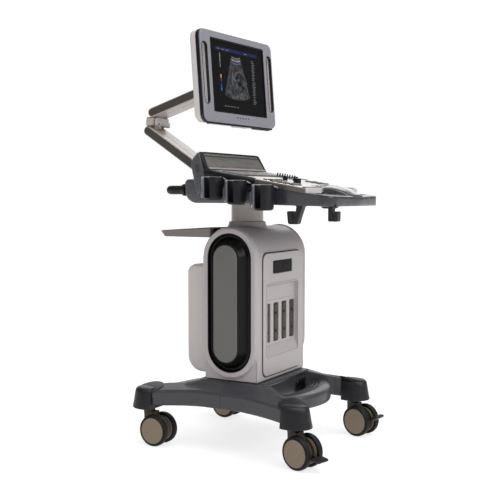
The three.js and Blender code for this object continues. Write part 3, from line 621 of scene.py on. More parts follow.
def add_base():
    front, rear = base_casting()
    put("base",
        ("base_front_casting", front, "base_plastic", "base_grey", ["base_front"], 50),
        ("base_rear_casting", rear, "base_plastic", "base_grey", ["base_rear"], 50),
        # painted shadow: dark patch in the footrest's opening
        ("hub_shadow_patch", hub_shadow_patch(), "base_plastic", "gasket"),
        ("footrest_tread", footrest(), "base_plastic", "base_grey", (), 50))
    for name, (x, y, turn, brake) in CORNERS.items():
        cap = leg_cap(y) if x > 0 else mirrored(leg_cap(y))
        put("base", ("cap_" + name, cap, "dark_plastic", "cap_dark", ["leg_cap_" + name], 45),
            local=shift(x, y, 0))
        swung = shift(x, y, 0) @ Matrix.Rotation(TURN(turn), 4, "Z")
        # painted shade: the fork takes a darker copy of the hubs' taupe nylon
        put("caster_" + name,
            ("fork_" + name, fork(brake is not None), "taupe", "taupe_dark", ["caster_fork_" + name]),
            local=swung)
        put("wheels_" + name,
            ("tyres_" + name, wheel_tyres(), "tread", "tread", ["caster_wheels_" + name], 50),
            ("hubs_" + name, wheel_covers(), "taupe", "taupe", (), 30), local=swung)
        if brake is not None:
            hinge = swung @ shift(0, -56, 50) @ Matrix.Rotation(TURN(-brake), 4, "X")
            put("brake_" + name,
                ("pedal_" + name, pedal(), "dark_plastic", "cap_dark", ["brake_pedal_" + name]), local=hinge)


# ---------------------------------------------------------------- cabinet
CAB_Y, CAB_R, BARREL_Z = -12, 95, 602  # the side capsule: centre, radius, top centre
COLUMN_Y = 20


def capsule(margin, steps=20):
    return stadium(CAB_Y, 228 + CAB_R, BARREL_Z, CAB_R - margin, steps)


def cabinet_shell():
    barrel = [(-88, 218), (83, 218)] + arc(CAB_Y, BARREL_Z, CAB_R, 0, 180, 40) + [(-107, 598), (-88, 598)]
    parts = [layers("x", [(barrel, -160), (barrel, 160)])]
    front = rect(-160, 160, 218, 604)
    parts.append(slab("y", front, -107, -84, holes=[rect(-113, 113, 252, 584, 6)], soft=0.05, res=0))
    for side in (1, -1):
        rim = slab("x", capsule(0), 150, 172, holes=[capsule(19)], soft=0.05, res=0)
        parts.append(rim if side > 0 else mirrored(rim))
        spread = layers("x", [(capsule(m), side * x) for m, x in ((-4, 156), (-3, 161.5), (0.5, 165.5))])
        parts.append(carve(spread, layers("x", [(capsule(19), side * x) for x in (160.8, 180)])))
        parts.append(layers("x", [(capsule(8), side * x) for x in (150, 160.5)]))
    collar = [(0, 560), (61, 560), (61, 655), (66, 672), (72, 684), (69, 690), (64, 697), (61, 704),
              (60, 711), (58.5, 713.6), (54, 713.6), (54, 700), (0, 700)]
    parts.append(lathe("z", collar, 72, (0, COLUMN_Y, 0)))
    return cast(merged(*parts), 2.5, 6)


def capsule_steps(*steps):
    """Layers outwards from the cabinet's side, each a capsule's margin and its x."""
    return layers("x", [(capsule(m), x) for m, x in steps])


def side_dish():
    """Dark dish inside the right rim, rising to the edge of its plate."""
    return capsule_steps(
        (16.8, 158), (16.8, 170.6), (17.4, 171.6), (19.2, 171.8), (20.6, 170.6), (22, 165.5), (24.5, 162.4),
        (28, 161.8), (32, 164.5), (37, 171), (42, 179), (46.5, 187), (49.5, 191.6), (51.5, 193), (54, 193.2))


def side_plate():
    return capsule_steps((53, 192.4), (53, 194.3), (53.6, 195.2), (55, 195.6), (70, 195.9))


PORTS = [-82.5, -27.5, 27.5, 82.5]  # x of each probe port


def front_cover():
    opening = rect(-106, 106, 291, 518, 11)
    window = rect(-66, 66, 551, 592, 4)
    plate = slab("y", rect(-128, 128, 232, 616, 24, 10), -111, -105.5, holes=[opening, window], soft=1.6)
    floor = rect(-103, 103, 321, 511, 7)
    steps = [(rect(-106.6, 106.6, 290.4, 518.6, 11.6), -106.5), (opening, -109.6),
             (rect(-105.2, 105.2, 293, 517, 10.4), -108.6), (rect(-103.6, 103.6, 317, 512, 8), -101.8),
             (floor, -100.6)]
    wall = loft([[(u, w, v) for u, v in ring] for ring, w in steps], close=False)
    holes = [rect(x - 17, x + 17, 333, 456, 4) for x in PORTS]
    back = slab("y", rect(-103.5, 103.5, 320.5, 511.5, 7), -101.2, -93.5, holes=holes, soft=1.2)
    rail = [block(-103, 103, -102.6, -100.4, 324.5, 326.5, 0.7),
            block(-92, 92, -102.4, -100.2, 466, 467.6, 0.6)]
    lip = slab("y", rect(-109.5, 109.5, 287.5, 521.5, 13.5), -112.6, -109.8, holes=[opening], soft=1.1)
    return merged(plate, wall, back, lip, *rail)


def port_connectors():
    parts = []
    for x in PORTS:
        parts.append(block(x - 15.4, x + 15.4, -98, -91, 335, 454, 1.5))
        parts.append(block(x - 11.5, x + 7, -101.5, -96, 338, 451, 2))
        for z in (349, 406):
            parts.append(block(x + 8, x + 13, -100.5, -96, z, z + 34, 1.2))
    return merged(*parts)


def port_latches():
    parts = []
    for x in PORTS:
        for z in (366, 423):
            parts.append(lathe("y", [(0, -103), (3.2, -103), (4, -102.4), (4, -100.5), (0, -100.5)], 28,
                               (x - 2.2, 0, z)))
            parts.append(block(x - 3.1, x - 1.3, -104.4, -102.5, z - 5, z + 5, 0.7))
    return merged(*parts)


def rear_cover():
    side = rounded([(83.4, 231), (165, 231, 52), (165, 575, 26), (83.4, 575)], 12)
    lid = block(-124, 124, 96, 150, 572, 576.4, 2)
    ribs = [block(-95, 95, 163.6, 166.6, z, z + 4.2, 1.0, 2) for z in range(420, 527, 12)]
    return merged(slab("x", side, -138, 138, soft=9, res=5), lid, *ribs)


def mains_inlet():
    ring = slab("y", rect(54, 106, 333, 367, 4), 165, 183, holes=[rect(65, 95, 340, 360, 3)], soft=1.2)
    return merged(ring, block(60, 100, 166, 170, 336, 364, 0.5))


def mains_pins():
    spots = ((73, 349), (87, 349), (80, 353))
    return merged(*[block(x - 1.1, x + 1.1, 168, 180, z - 2.5, z + 2.5, 0.4) for x, z in spots])


def rear_tray():
    """Sheet-metal tray behind the column: sloped rim, flat floor."""
    rings = []
    steps = ((146, 252, 13, 664, 0), (150, 264, 16, 689, 8), (150, 264, 16, 692, 8), (145, 258, 13, 692, 8),
             (142.5, 248, 11, 671, 0))
    for half, rear, radius, z, fall in steps:
        rings.append([(u, v, z - fall * (v - 66) / 198) for u, v in rect(-half, half, 66, rear, radius)])
    return carve(loft(rings), cylinder("z", 62, 600, 720, 48, (0, COLUMN_Y, 0)))


def add_cabinet():
    put("base", ("cabinet_shell", cabinet_shell(), "warm_grey", "body_grey", ["cabinet_body"], 60))
    for side, label in SIDES:
        dish, plate = side_dish(), side_plate()
        if side < 0:
            dish, plate = mirrored(dish), mirrored(plate)
        put("base",
            ("dish_" + label, dish, "dark_plastic", "ring_dark", ["side_panel_" + label], 50),
            ("plate_" + label, plate, "dark_plastic", "plate", (), 50))
    # painted shade: a dark ring standing in for the shadow in the groove round the front cover
    gap = slab("y", rect(-131.5, 131.5, 228.5, 619.5, 27, 10), -108.2, -106.2,
               holes=[rect(-112, 112, 254, 582, 6)], soft=0.4)
    tiles = merged(block(-58, -8, -109.4, -108, 560, 583, 0.6), block(6, 56, -109.4, -108, 560, 583, 0.6))
    put("base",
        ("front_cover_gap", gap, "dark_plastic", "gap"),
        ("front_cover_panel", front_cover(), "warm_grey", "body_grey", ["front_cover"], 40),
        ("front_window", block(-65.4, 65.4, -108.6, -105.6, 551.6, 591.4, 1.0), "dark_plastic", "window"),
        ("front_window_tiles", tiles, "dark_plastic", "window_tile"),
        ("port_connectors", port_connectors(), "dark_plastic", "connector", ["probe_port_board"]),
        ("port_latches", port_latches(), "dark_plastic", "black"),
        ("rear_cover_shell", rear_cover(), "warm_grey", "cover_grey", ["rear_cover"]),
        ("inlet_socket", mains_inlet(), "dark_plastic", "black", ["mains_inlet"]),
        ("inlet_pins", mains_pins(), "metal", "steel"),
        ("tray_metal", rear_tray(), "metal", "steel", ["rear_tray"]))
    for side, label in SIDES:
        line = [(side * 160.4, -104, z) for z in (222, 400, 600)]
        put("base", ("seam_" + label, rod(line, 0.7, 8), "warm_grey", "seam"))
    tube = cylinder("z", 52.4, 560, 771.4, 96, (0, COLUMN_Y, 0))
    put("lift", ("column_tube", tube, "column_paint", "column", ["lift_column"]))
    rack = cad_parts["electronics_chassis"].data
    rack.materials.clear()
    rack.materials.append(LOOKS["zinc"])


# ---------------------------------------------------------------- console
DECK_HEIGHT, DECK_SLOPE = 866, 0.172
BALL = (18, -254)


def deck_z(y):
    return DECK_HEIGHT + DECK_SLOPE * y


def sheared(bm):
    """Lays a flat shape on the sloping deck: its z becomes a height above the deck."""
    for vert in bm.verts:
        vert.co.z += deck_z(vert.co.y)
    return bm


CUPS = [(6, 783, 852), (-76, 769, 841), (-168, 752, 827)]  # y, bottom and top of each cup
CUP_X = 232
PANEL = shift(0, 75, 905.5) @ Matrix.Rotation(-math.atan2(25, 43), 4, "X")  # the touch panel's frame


def console_plan():
    return rounded([(-190, 112), (-190, -364, 46), (0, -375, 400), (190, -364, 46), (190, 112)], 10)


def upright(outline, low=740, high=900):
    """Straight prism of an outline in plan."""
    return layers("z", [(outline, low), (outline, high)])


def console_moulding():
    profile = [(-380, 763.5), (-180, 767.5), (-150, 772), (-150, 812.4), (92, 812.4), (106, 842)]
    profile += rounded([(106, 842), (106, 902, 12), (88, 928, 7), (80, 924, 4), (57, 872)], 6)[1:]
    profile += [(-95, deck_z(-95) - 2), (-112, deck_z(-112) - 14.5), (-283, deck_z(-283) - 14.5), (-335, 799),
                (-366, 794), (-380, 787)]
    side = layers("x", [(profile, -190), (profile, 190)])
    body = combined(side, upright(console_plan(), 740, 960), "INTERSECT")
    bed = [(-176.6, 56), (-176.6, -95), (-189, -112), (-250, -113), (-250, -283.6), (-65, -283.6),
           (-51, -338.6), (51, -338.6), (65, -283.6), (250, -283.6), (250, -113), (189, -112), (176.6, -95),
           (176.6, 56)]
    body = carve(body, sheared(upright(bed, -12.4, 80)))
    for side in (1, -1):
        hole = rounded([(side * 72, -287, 8), (side * 162, -287, 12), (side * 168, -330, 20),
                        (side * 60, -347, 8)], 6)
        body = carve(body, upright(hole))
    body = carve(body, cylinder("z", 20, 780, 900, 32, (*BALL, 0)))
    return cast(body, 2.7, 5)


def console_tub():
    """Lower housing and the round stub that stands in the column."""
    profile = rounded([(-149, 772.5, 8), (160, 772.5, 42), (160, 848, 15), (111, 848, 2), (111, 812, 1),
                       (-149, 812, 2)], 10)
    body = slab("x", profile, -160, 160, soft=7, res=4)
    return merged(body, cylinder("z", 45.5, 740, 776, 48, (0, COLUMN_Y, 0)))


def flat(outline, low, high, soft, holes=()):
    """Flat shape lying on the deck, between two heights above it."""
    return sheared(slab("z", outline, low, high, holes=holes, soft=soft))


def deck_plate():
    plan = rounded([(-176, 55, 2), (-176, -95, 6), (-188, -112, 6), (-188, -283, 5), (188, -283, 5),
                    (188, -112, 6), (176, -95, 6), (176, 55, 2)], 5)
    return flat(plan, -12, 0, 1.6, [ellipse(*BALL, 20, 20, 40)])


def deck_end(side):
    """Pale upright face where the deck stops short of the hand hole."""
    face = rect(min(side * 84, side * 187), max(side * 84, side * 187), -14.5, 1.6, 3)
    return moved(slab("y", face, -286.4, -281, soft=1.2), shift(0, 0, deck_z(-283)))


def rest_strip(side):
    """Dark strip let into the deck behind its end face."""
    strip = rounded([(side * 186, -279, 2), (side * 70, -279, 4), (side * 60, -262, 8),
                     (side * 182, -268, 4)], 5)
    return flat(strip, -0.5, 2.6, 1.2)


def deck_trim(side):
    """Metallic strip along the deck's outer side."""
    strip = rounded([(side * 184, -108, 1), (side * 191.3, -114, 3), (side * 191.3, -279, 4),
                     (side * 184, -284, 1)], 4)
    return flat(strip, -15.5, -1.4, 1.0)


TONGUE_TOP = [(-275, 823), (-283, 824), (-300, 822), (-320, 817), (-335, 811.5), (-346, 805.5), (-356, 800),
              (-366, 795.5), (-371, 791)]


def tongue_line(y, top, shares, lift):
    """Points across the bridge's crown, at shares of its half width."""
    half = 68 - 20 * (y + 272) / (-366 + 272)
    return half, [(half * t, y, top + lift - 5.5 * t * t - 3.5 * t ** 8) for t in shares]


def console_tongue():
    """Crowned bridge between the hand holes, curving down to the front bar."""
    rings = []
    for y, top in TONGUE_TOP:
        half, line = tongue_line(y, top, [-1 + i / 8 for i in range(17)], 3.2)
        bottom = max(top - 26, 770)
        rings.append([(-half, y, bottom), *line, (half, y, bottom)])
    return loft(rings)


def tongue_highlight():
    """Painted highlight: a silver strip along the crown of the bridge, standing in for the light its curved
    top reflects.
    """
    rings = []
    for y, top in TONGUE_TOP[:-1]:
        line = tongue_line(y, top, [-0.28 + 1.1 * i / 6 for i in range(7)], 3.9)[1]
        rings.append([*line, *[(x, y, z - 1.2) for x, y, z in (line[-1], line[0])]])
    return loft(rings)


def keyboard():
    """The dark and the pale keys, with the space bar in the last row."""
    rows, columns, left, pitch = 5, 19, -156, 17.2
    keys, pale = [], []

    def key(x0, x1, y):
        return block(x0 - 7.3, x1 + 7.3, y - 7.2, y + 7.2, -0.5, 3.6, 1.5, 2)

    for row in range(rows):
        y = 27 - 17.5 * row
        for column in range(columns):
            if row == rows - 1 and 6 <= column <= 11:
                continue
            x = left + pitch * column
            (pale if (row * 5 + column * 3) % 11 == 0 or column > 15 else keys).append(key(x, x, y))
    keys.append(key(left + pitch * 6, left + pitch * 11, y))
    return sheared(merged(*keys)), sheared(merged(*pale))


def control_buttons():
    """Small round and square buttons over the front half of the deck."""
    dark, pale = [], []
    for i in range(6):
        dark.append(lathe("z", [(0, -0.5), (6, -0.5), (6, 2.4), (5, 3.2), (0, 3.2)], 24,
                          (-150 + 21 * i, -128 - 3 * (i % 2), 0)))
    for i in range(5):
        turn = TURN(200 + 35 * i)
        spot = (BALL[0] + 42 * math.cos(turn), -248 - 12 * math.sin(turn), 0)
        pale.append(lathe("z", [(0, -0.5), (7, -0.5), (7, 2.2), (6, 3), (0, 3)], 24, spot))
    for x in (BALL[0] + 40, BALL[0] - 40):
        pale.append(block(x - 10, x + 10, -262, -240, -0.5, 2.6, 1.2, 2))
    for row in range(3):
        for column in range(4):
            x, y = 96 + 20 * column, -150 - 20 * row
            dark.append(block(x - 7, x + 7, y - 6, y + 6, -0.5, 3.2, 1.5, 2))
    for row in range(4):
        for column in range(3):
            x, y = -158 + 22 * column, -158 - 22 * row
            dark.append(block(x - 7.5, x + 7.5, y - 6.5, y + 6.5, -0.5, 3.2, 1.5, 2))
    return sheared(merged(*dark)), sheared(merged(*pale))


def ball_surround():
    plate = rounded([(-42, -222, 14), (-30, -281, 8), (66, -281, 8), (78, -222, 14)], 6)
    return flat(plate, -0.4, 0.9, 0.4, [ellipse(*BALL, 20.4, 20.4, 40)])


def key_well():
    return flat(rect(-170, 172, -60, 38, 5), -0.6, 0.9, 0.5)


def side_rail(side):
    """Dark rail between the keys and the probe cups."""
    rings = []
    for i in range(17):
        y = 70 - 180 * i / 16
        z = deck_z(min(y, 58))
        outer, inner = side * (191.5 + 2 * math.sin(math.pi * i / 16)), side * 176.4
        section = [(inner, z - 12), (outer - side * 2, z - 24), (outer, z - 21), (outer, z - 5),
                   (outer - side * 3, z - 0.5), (inner + side * 3, z + 2.4), (inner, z + 1.6)]
        rings.append([(x, y, h) for x, h in section])
    return loft(rings)


def panel_surround():
    """Black frame standing proud of the tower's sloping face."""
    outer = rounded([(-191, -40, 7), (191, -40, 7), (190, 29, 9), (-190, 29, 9)], 6)
    hole = rounded([(-181.4, -26.4, 5), (183.4, -26.4, 5), (175.4, 25.4, 9), (-165.4, 25.4, 7)], 6)
    return moved(slab("y", outer, -6, 9, holes=[hole], soft=2.8, res=4), PANEL)


def panel_lip():
    lip = rounded([(-182, -35, 2), (184, -35, 2), (183, -29, 2), (-181, -29, 2)], 3)
    return moved(slab("y", lip, -7.6, -3, soft=1.0), PANEL)


def panel_glass():
    face = rounded([(-180.8, -25.8, 5), (182.8, -25.8, 5), (175, 25, 9), (-165, 25, 7)], 6)
    return moved(slab("y", face, -4.2, 8.5, soft=0.9), PANEL)


def tower_skin(side):
    """Grey cheek of the tower, swept down between the rear handle's housing and the cups."""
    cheek = rounded([(84, 798, 3), (91, 798, 4), (101, 838, 20), (109, 868, 20), (113.5, 896, 8),
                     (108, 910, 12), (88, 930, 5), (82, 926, 3), (64, 864, 8), (70, 834, 10)], 6)
    return slab("x", cheek, side * 183.5, side * 192.4, soft=3.2, res=4)


def cheek_highlight(side):
    """Painted highlight: a pale rod along the tower's rear upper corner, standing in for the light on its
    rounded edge.
    """
    x = side * 187
    path = bend([(x, 112, 892), (x, 108, 909), (x, 91, 928), (x, 85, 930)], 6, 5)
    return rod(path, [1.2] + [3.1] * (len(path) - 2) + [1.2], 16)


def tower_slot(side):
    turned = shift(0, 89, 881) @ Matrix.Rotation(TURN(-14), 4, "X")
    ring = slab("x", stadium(0, -7, 7, 7, 12), side * 191.4, side * 193.0, holes=[stadium(0, -7, 7, 4.6, 12)],
                soft=0.6)
    return moved(merged(ring, slab("x", stadium(0, -7, 7, 4.8, 12), side * 191.2, side * 192.7, soft=0.4)),
                 turned)


def cup(bottom, top, side):
    """Rubber cup with a slit for the cable, rounded at the lip and at the foot."""
    out, thick, gap = 30, 4.5, 19
    outer = [(0, bottom), (21, bottom), (26, bottom + 1.6), (29, bottom + 5), (out, bottom + 10),
             (out, top - 3), (29.3, top - 0.8), (27.8, top), (26.3, top - 0.8), (out - thick, top - 3),
             (out - thick, bottom + 9), (24, bottom + 6), (0, bottom + 5)]
    shell = lathe("z", outer, 64)
    shell = carve(shell, upright(rect(12, 40, -gap / 2, gap / 2, 1), bottom + 6, top + 6))
    return moved(shell, Matrix.Rotation(TURN(180 - 8 if side < 0 else 8), 4, "Z"))


def cup_bracket(y, bottom, top, side):
    """Grey moulding that clasps the cup from behind and runs to the console's side."""
    start, end = (-20, 147) if side < 0 else (33, 200)
    inner = arc(0, 0, 30.6, end, start, 30)
    wall = slab("z", arc(0, 0, 36.5, start, end, 30) + inner, bottom + 7, top - 2, soft=1.8, res=3)
    reach = sorted((0, -side * 44))
    lump = rounded([(reach[0], -10, 4), (reach[1], -10, 4), (reach[1], 30, 6), (reach[0], 30, 6)])
    neck = carve(slab("z", lump, top - 40, top - 9, soft=4, res=4), cylinder("z", 30.5, 600, 1000, 48))
    boss = slab("x", stadium(40, top - 48, top - 26, 8, 10), *sorted((side * 4, side * -20)), soft=3.4, res=4)
    low = slab("x", stadium(42, top - 58, top - 44, 5.5, 10), *sorted((side * 2, side * -20)), soft=2.4,
               res=4)
    return moved(merged(wall, neck, boss, low), shift(side * CUP_X, y, 0))


def bracket_rim(y, top, side):
    """Rolled lip along the top of the clasp, run on to the console's side, drawn in a paler grey than the
    moulding as a painted highlight.
    """
    turns = range(147, -21, -12) if side < 0 else range(33, 201, 12)
    path = [(34.4 * math.cos(TURN(a)), 34.4 * math.sin(TURN(a)), top - 0.6) for a in turns]
    path.append((-side * 43, -26, top - 9))
    return moved(rod(path, 2.5, 14), shift(side * CUP_X, y, 0))


def rear_handle_bar():
    path = bend([(-145, 158, 814), (-145, 232, 814), (145, 232, 814), (145, 158, 814)], 27, 12)
    return rod(path, 14.2, 32)


def handle_collars():
    collar = [(14.4, 160.4), (19, 160.4), (19.6, 162), (19.4, 170), (17.6, 173), (14.4, 173.6)]
    return merged(*[lathe("y", collar, 36, (x, 0, 814)) for x in (-145, 145)])


HOOK_REAR = [(-248, 768, 0), (-270, 768, 0), (-258, 735, 14), (-251, 711, 6), (-220, 711, 7), (-216, 750, 4),
             (-235, 750, 3), (-237, 730, 2), (-243, 730, 3)]
HOOK_FRONT = [(-341, 769, 0), (-341, 720, 4), (-371, 720, 4), (-372, 750, 4), (-361, 750, 3), (-360, 737, 2),
              (-354, 737, 2), (-354, 769, 0)]


def hook(points, x0, x1, root):
    foot = rounded([(root[0], 763.5, 3), (root[1], 763.5, 3), (root[1] + 5, 769, 0), (root[0] - 5, 769, 0)])
    return merged(slab("x", rounded(points, 8), x0, x1, soft=3, res=4),
                  slab("x", foot, x0 - 1, x1 + 1, soft=1.2))


def knob(radius, height):
    """Ribbed turning knob standing on its own origin."""
    bm = lathe("z", [(0, 0.2), (radius, 0.2), (radius, 2), (radius * 0.94, 3), (radius * 0.9, height - 1.6),
                     (radius * 0.8, height), (0, height)], 48)
    for vert in bm.verts:
        if 2.5 < vert.co.z < height - 1:
            spin = math.atan2(vert.co.y, vert.co.x)
            push = 1 + 0.035 * math.copysign(1, math.sin(12 * spin + 0.01))
            vert.co.x *= push
            vert.co.y *= push
    return merged(bm, block(-0.7, 0.7, radius * 0.25, radius * 0.85, height - 0.4, height + 0.5, 0.3, 1))


def on_deck(x, y, sink=0.0):
    return shift(x, y, deck_z(y) - sink) @ Matrix.Rotation(math.atan(DECK_SLOPE), 4, "X")


def slider(i):
    lever = rounded([(-1.9, 2, 0.5), (1.9, 2, 0.5), (1.2, 13, 0.6), (-1.2, 13, 0.6)], 3)
    cap = slab("x", lever, -2.8, 2.8, soft=0.6)
    rib = block(-3.0, 3.0, -0.4, 0.4, 12.0, 13.3, 0.3, 1)
    stem = block(-1.2, 1.2, -0.5, 0.5, 0.3, 3, 0.2, 1)
    return moved(merged(cap, rib, stem), on_deck(95, -40 - 9 * i))


def slider_plate():
    slots = [rect(82.2, 107.8, -40 - 9 * i - 1.1, -40 - 9 * i + 1.1, 0.9) for i in range(8)]
    return flat(rect(80, 110, -110, -34, 5), -0.5, 1.5, 0.6, slots)


def add_console():
    put("console",
        ("console_moulding", console_moulding(), "console_grey", "console_dark", ["console_frame"], 60),
        ("console_tub", console_tub(), "console_grey", "console", ["console_housing"]),
        ("deck_plate", deck_plate(), "deck_silver", "silver", ["console_deck"]),
        ("tongue", console_tongue(), "console_grey", "console_dark", (), 60),
        # painted highlight: silver strip on the bridge's crown
        ("tongue_highlight", tongue_highlight(), "deck_silver", "silver", (), 60))
    for side, label in SIDES:
        put("console",
            ("deck_trim_" + label, deck_trim(side), "deck_silver", "trim"),
            ("deck_end_" + label, deck_end(side), "deck_silver", "end_face"),
            ("deck_rest_" + label, rest_strip(side), "soft_black", "black"),
            ("deck_rail_" + label, side_rail(side), "soft_black", "black", (), 60),
            ("tower_cheek_" + label, tower_skin(side), "console_grey", "console"),
            # painted highlight: pale rods on the cheeks' rear upper edges
            ("cheek_highlight_" + label, cheek_highlight(side), "console_grey", "end_face"),
            ("tower_slot_" + label, tower_slot(side), "soft_black", "connector"))
    keys, pale = keyboard()
    dark_buttons, pale_buttons = control_buttons()
    put("console",
        ("panel_surround", panel_surround(), "soft_black", "black"),
        ("panel_lip", panel_lip(), "deck_silver", "silver"),
        ("panel_touch", panel_glass(), "touch_glass", "panel", ["touch_panel"]),
        ("key_well", key_well(), "soft_black", "connector"),
        ("keys_dark", keys, "soft_black", "key"),
        ("keys_pale", pale, "deck_silver", "key_pale"),
        ("buttons_dark", dark_buttons, "soft_black", "key"),
        ("buttons_pale", pale_buttons, "deck_silver", "key_pale"),
        ("ball_surround", ball_surround(), "deck_silver", "trim"),
        ("slider_plate", slider_plate(), "soft_black", "connector"))
    for i in range(8):
        node_name = "tgc_slider_%d" % (i + 1)
        put(node_name, ("slider_%d" % (i + 1), slider(i), "soft_black", "black", [node_name]))
    dials = (("gain", -16, -126, 8, 14), ("depth", 40, -134, 8, 14), ("select", -38, -180, 12, 15))
    for name, x, y, radius, height in dials:
        dial = knob(radius, height)
        put("knob_" + name, ("dial_" + name, dial, "soft_black", "black", ["knob_" + name]),
            local=on_deck(x, y))
    ball = bmesh.new()
    bmesh.ops.create_uvsphere(ball, u_segments=48, v_segments=24, radius=19)
    put("trackball", ("ball", ball, "soft_black", "black", ["trackball"]), local=on_deck(*BALL, 12))
    for side, label in SIDES:
        for i, (y, bottom, top) in enumerate(CUPS):
            mark = "%s_%d" % (label, i + 1)
            rubber = moved(cup(bottom, top, side), shift(side * CUP_X, y, 0))
            put("console",
                ("cup_" + mark, rubber, "soft_black", "soft_black", ["probe_cup_" + mark]),
                ("bracket_" + mark, cup_bracket(y, bottom, top, side), "console_grey", "console"),
                # painted highlight: paler lip along each bracket's top
                ("bracket_rim_" + mark, bracket_rim(y, top, side), "console_grey", "console_edge_highlight"))
    rear, front = hook(HOOK_REAR, -180, -154, (-270, -248)), hook(HOOK_FRONT, -160, -134, (-366, -322))
    put("console",
        ("handle_bar", rear_handle_bar(), "soft_black", "soft_black", ["rear_handle"]),
        ("handle_collars", handle_collars(), "soft_black", "black"),
        ("hook_rear", rear, "dark_plastic", "cap_dark", ["cable_hook_rear"]),
        ("hook_front", front, "dark_plastic", "cap_dark", ["cable_hook_front"]))


# ---------------------------------------------------------------- arm
# Pivots of the two links, as (y, z).
ARM_ROOT, ELBOW_LOW, ELBOW_HIGH, ARM_TIP = (154, 866), (386, 1016), (368, 1077), (166, 1139)
ARM_HALF, ARM_R = 45, 15.5
POST_Y, HEAD_Z = 140, 1150  # the monitor's swivel axis, and the height of its head
TILT_Y, SCREEN_Y = 118, 47  # the tilt axis, and the bezel's face


def along(start, end):
    """Frame whose +Y runs from one pivot to the other."""
    turn = math.atan2(end[1] - start[1], end[0] - start[0])
    return shift(0, *start) @ Matrix.Rotation(turn, 4, "X"), math.dist(start, end)


def flat_stadium(u0, u1, radius, steps=20):
    return arc(u1, 0, radius, -90, 90, steps) + arc(u0, 0, radius, 90, 270, steps)


def arm_link(length):
    body = slab("x", flat_stadium(0, length, ARM_R), -ARM_HALF, ARM_HALF, soft=3, res=4)
    for at in (0, length):
        body = carve(body, cylinder("x", 18, -20.4, 20.4, 48, (0, at, 0)))
    return body


def arm_inlays(length):
    inlay = flat_stadium(1, length - 1, 12.4)
    sides = [slab("x", inlay, side * 44.2, side * 45.7, soft=0.6) for side in (1, -1)]
    pin = [(0, 45.2), (5.2, 45.2), (5.2, 46.2), (4.4, 46.7), (0, 46.7)]
    pins = [lathe("x", [(r, side * x) for r, x in pin], 32, (0, at, 0)) for side in (1, -1)
            for at in (0, length)]
    return merged(*sides, *pins)


def cable_cover(length, face):
    """Long shallow cover let into the top or bottom of a link."""
    return slab("z", rect(-13, 13, 26, length - 26, 5), face * 14.6, face * 16.1, soft=0.7)


def pivot_disc(y, z, soft):
    return slab("x", ellipse(y, z, 14, 14, 40), -20, 20, soft=soft)


def knuckle_block():
    web = slab("x", slot_between(ELBOW_LOW, ELBOW_HIGH, 11), -20, 20, soft=2)
    waist = rounded([(365, 1033, 3), (394, 1033, 6), (390, 1060.4, 6), (361, 1060.4, 3)], 5)
    return merged(web, pivot_disc(*ELBOW_LOW, 1.5), pivot_disc(*ELBOW_HIGH, 1.5),
                  slab("x", waist, -45, 45, soft=2.6, res=4))


def slot_between(a, b, radius, steps=14):
    turn = math.degrees(math.atan2(b[1] - a[1], b[0] - a[0]))
    return arc(*b, radius, turn - 90, turn + 90, steps) + arc(*a, radius, turn + 90, turn + 270, steps)


def knuckle_bracket():
    """Plate over the knuckle's front, with a slot for its latch and a clip at one end."""
    plate = slab("y", rect(-34, 40, 1033, 1060.4, 5), 355, 362, holes=[rect(-20, -14, 1033, 1042, 1.5)],
                 soft=2.4, res=4)
    return merged(plate, block(38, 46, 354, 366, 1029, 1046, 1.6))


def knuckle_lines():
    """Dark joints above and below the knuckle's side block."""
    lines = [block(side * 42 - 3.4, side * 42 + 3.4, 364, 388, z, z + 1.6, 0.5) for side in (1, -1)
             for z in (1031.2, 1060.2)]
    return merged(*lines, block(-21, -13, 361, 366, 1032, 1043, 0.5))


def monitor_post():
    y, z = ARM_TIP
    post = lathe("z", [(0, z - 20), (10, z - 20), (11, z - 19), (11, z + 19), (10, z + 20), (0, z + 20)], 36,
                 (0, POST_Y, 0))
    return merged(pivot_disc(y, z, 1.6), post, block(-9, 9, POST_Y, y, z - 9, z + 9, 2))


HEAD = shift(0, POST_Y, HEAD_Z) @ Matrix.Rotation(TURN(-3.4), 4, "Z") @ shift(0, TILT_Y - POST_Y, 0)
SCREEN = HEAD @ Matrix.Rotation(TURN(-4.4), 4, "X") @ shift(0, SCREEN_Y - TILT_Y, 17)


def yoke():
    drop = ARM_TIP[1] - HEAD_Z
    low, high = drop - 26, drop + 26
    plate = slot_between((0, 0), (0, 22), 11)
    parts = [slab("z", plate, low, low + 5.4, soft=1), slab("z", plate, high - 5.4, high, soft=1)]
    parts.append(block(-9, 9, -7, 7, low + 1, high - 1, 1.5))
    parts.append(slab("x", ellipse(0, 0, 9, 9, 32), -16, 16, soft=1))
    return merged(*parts)


def monitor_outline(margin=0.0, corner=24):
    return rect(-206 + margin, 207 - margin, -149 + margin, 137 - margin, corner, 10)


GRIPS = [(-186, -80, 83), (186, -80, 83)]


def grip_outline(u, low, high, radius):
    return arc(u, high, radius, 0, 180, 14) + arc(u, low, radius, 180, 360, 14)


def bezel():
    holes = [rect(-153.5, 153.5, -115.5, 115.5, 2.5)] + [grip_outline(*g, 14.4) for g in GRIPS]
    return slab("y", monitor_outline(0, 24), -3.4, 2.4, holes=holes, soft=2.0, res=4)


def bezel_buttons():
    return merged(*[block(u - 3, u + 3, -4.4, -3, -130, -125.5, 0.5, 2) for u in range(-27, 38, 16)])


def grip_lining(near, far, out, thick, floor):
    """Lining of both finger slots between two depths, with a floor at the far one if it has one."""
    parts = []
    for u, low, high in GRIPS:
        ring = [grip_outline(u, low, high, r) for r in (out, out - thick)]
        parts.append(slab("y", ring[0], near, far, holes=[ring[1]], soft=0.35, res=2))
        if floor:
            parts.append(slab("y", ring[1], far - 1.2, far, soft=0.3, res=1))
    return merged(*parts)


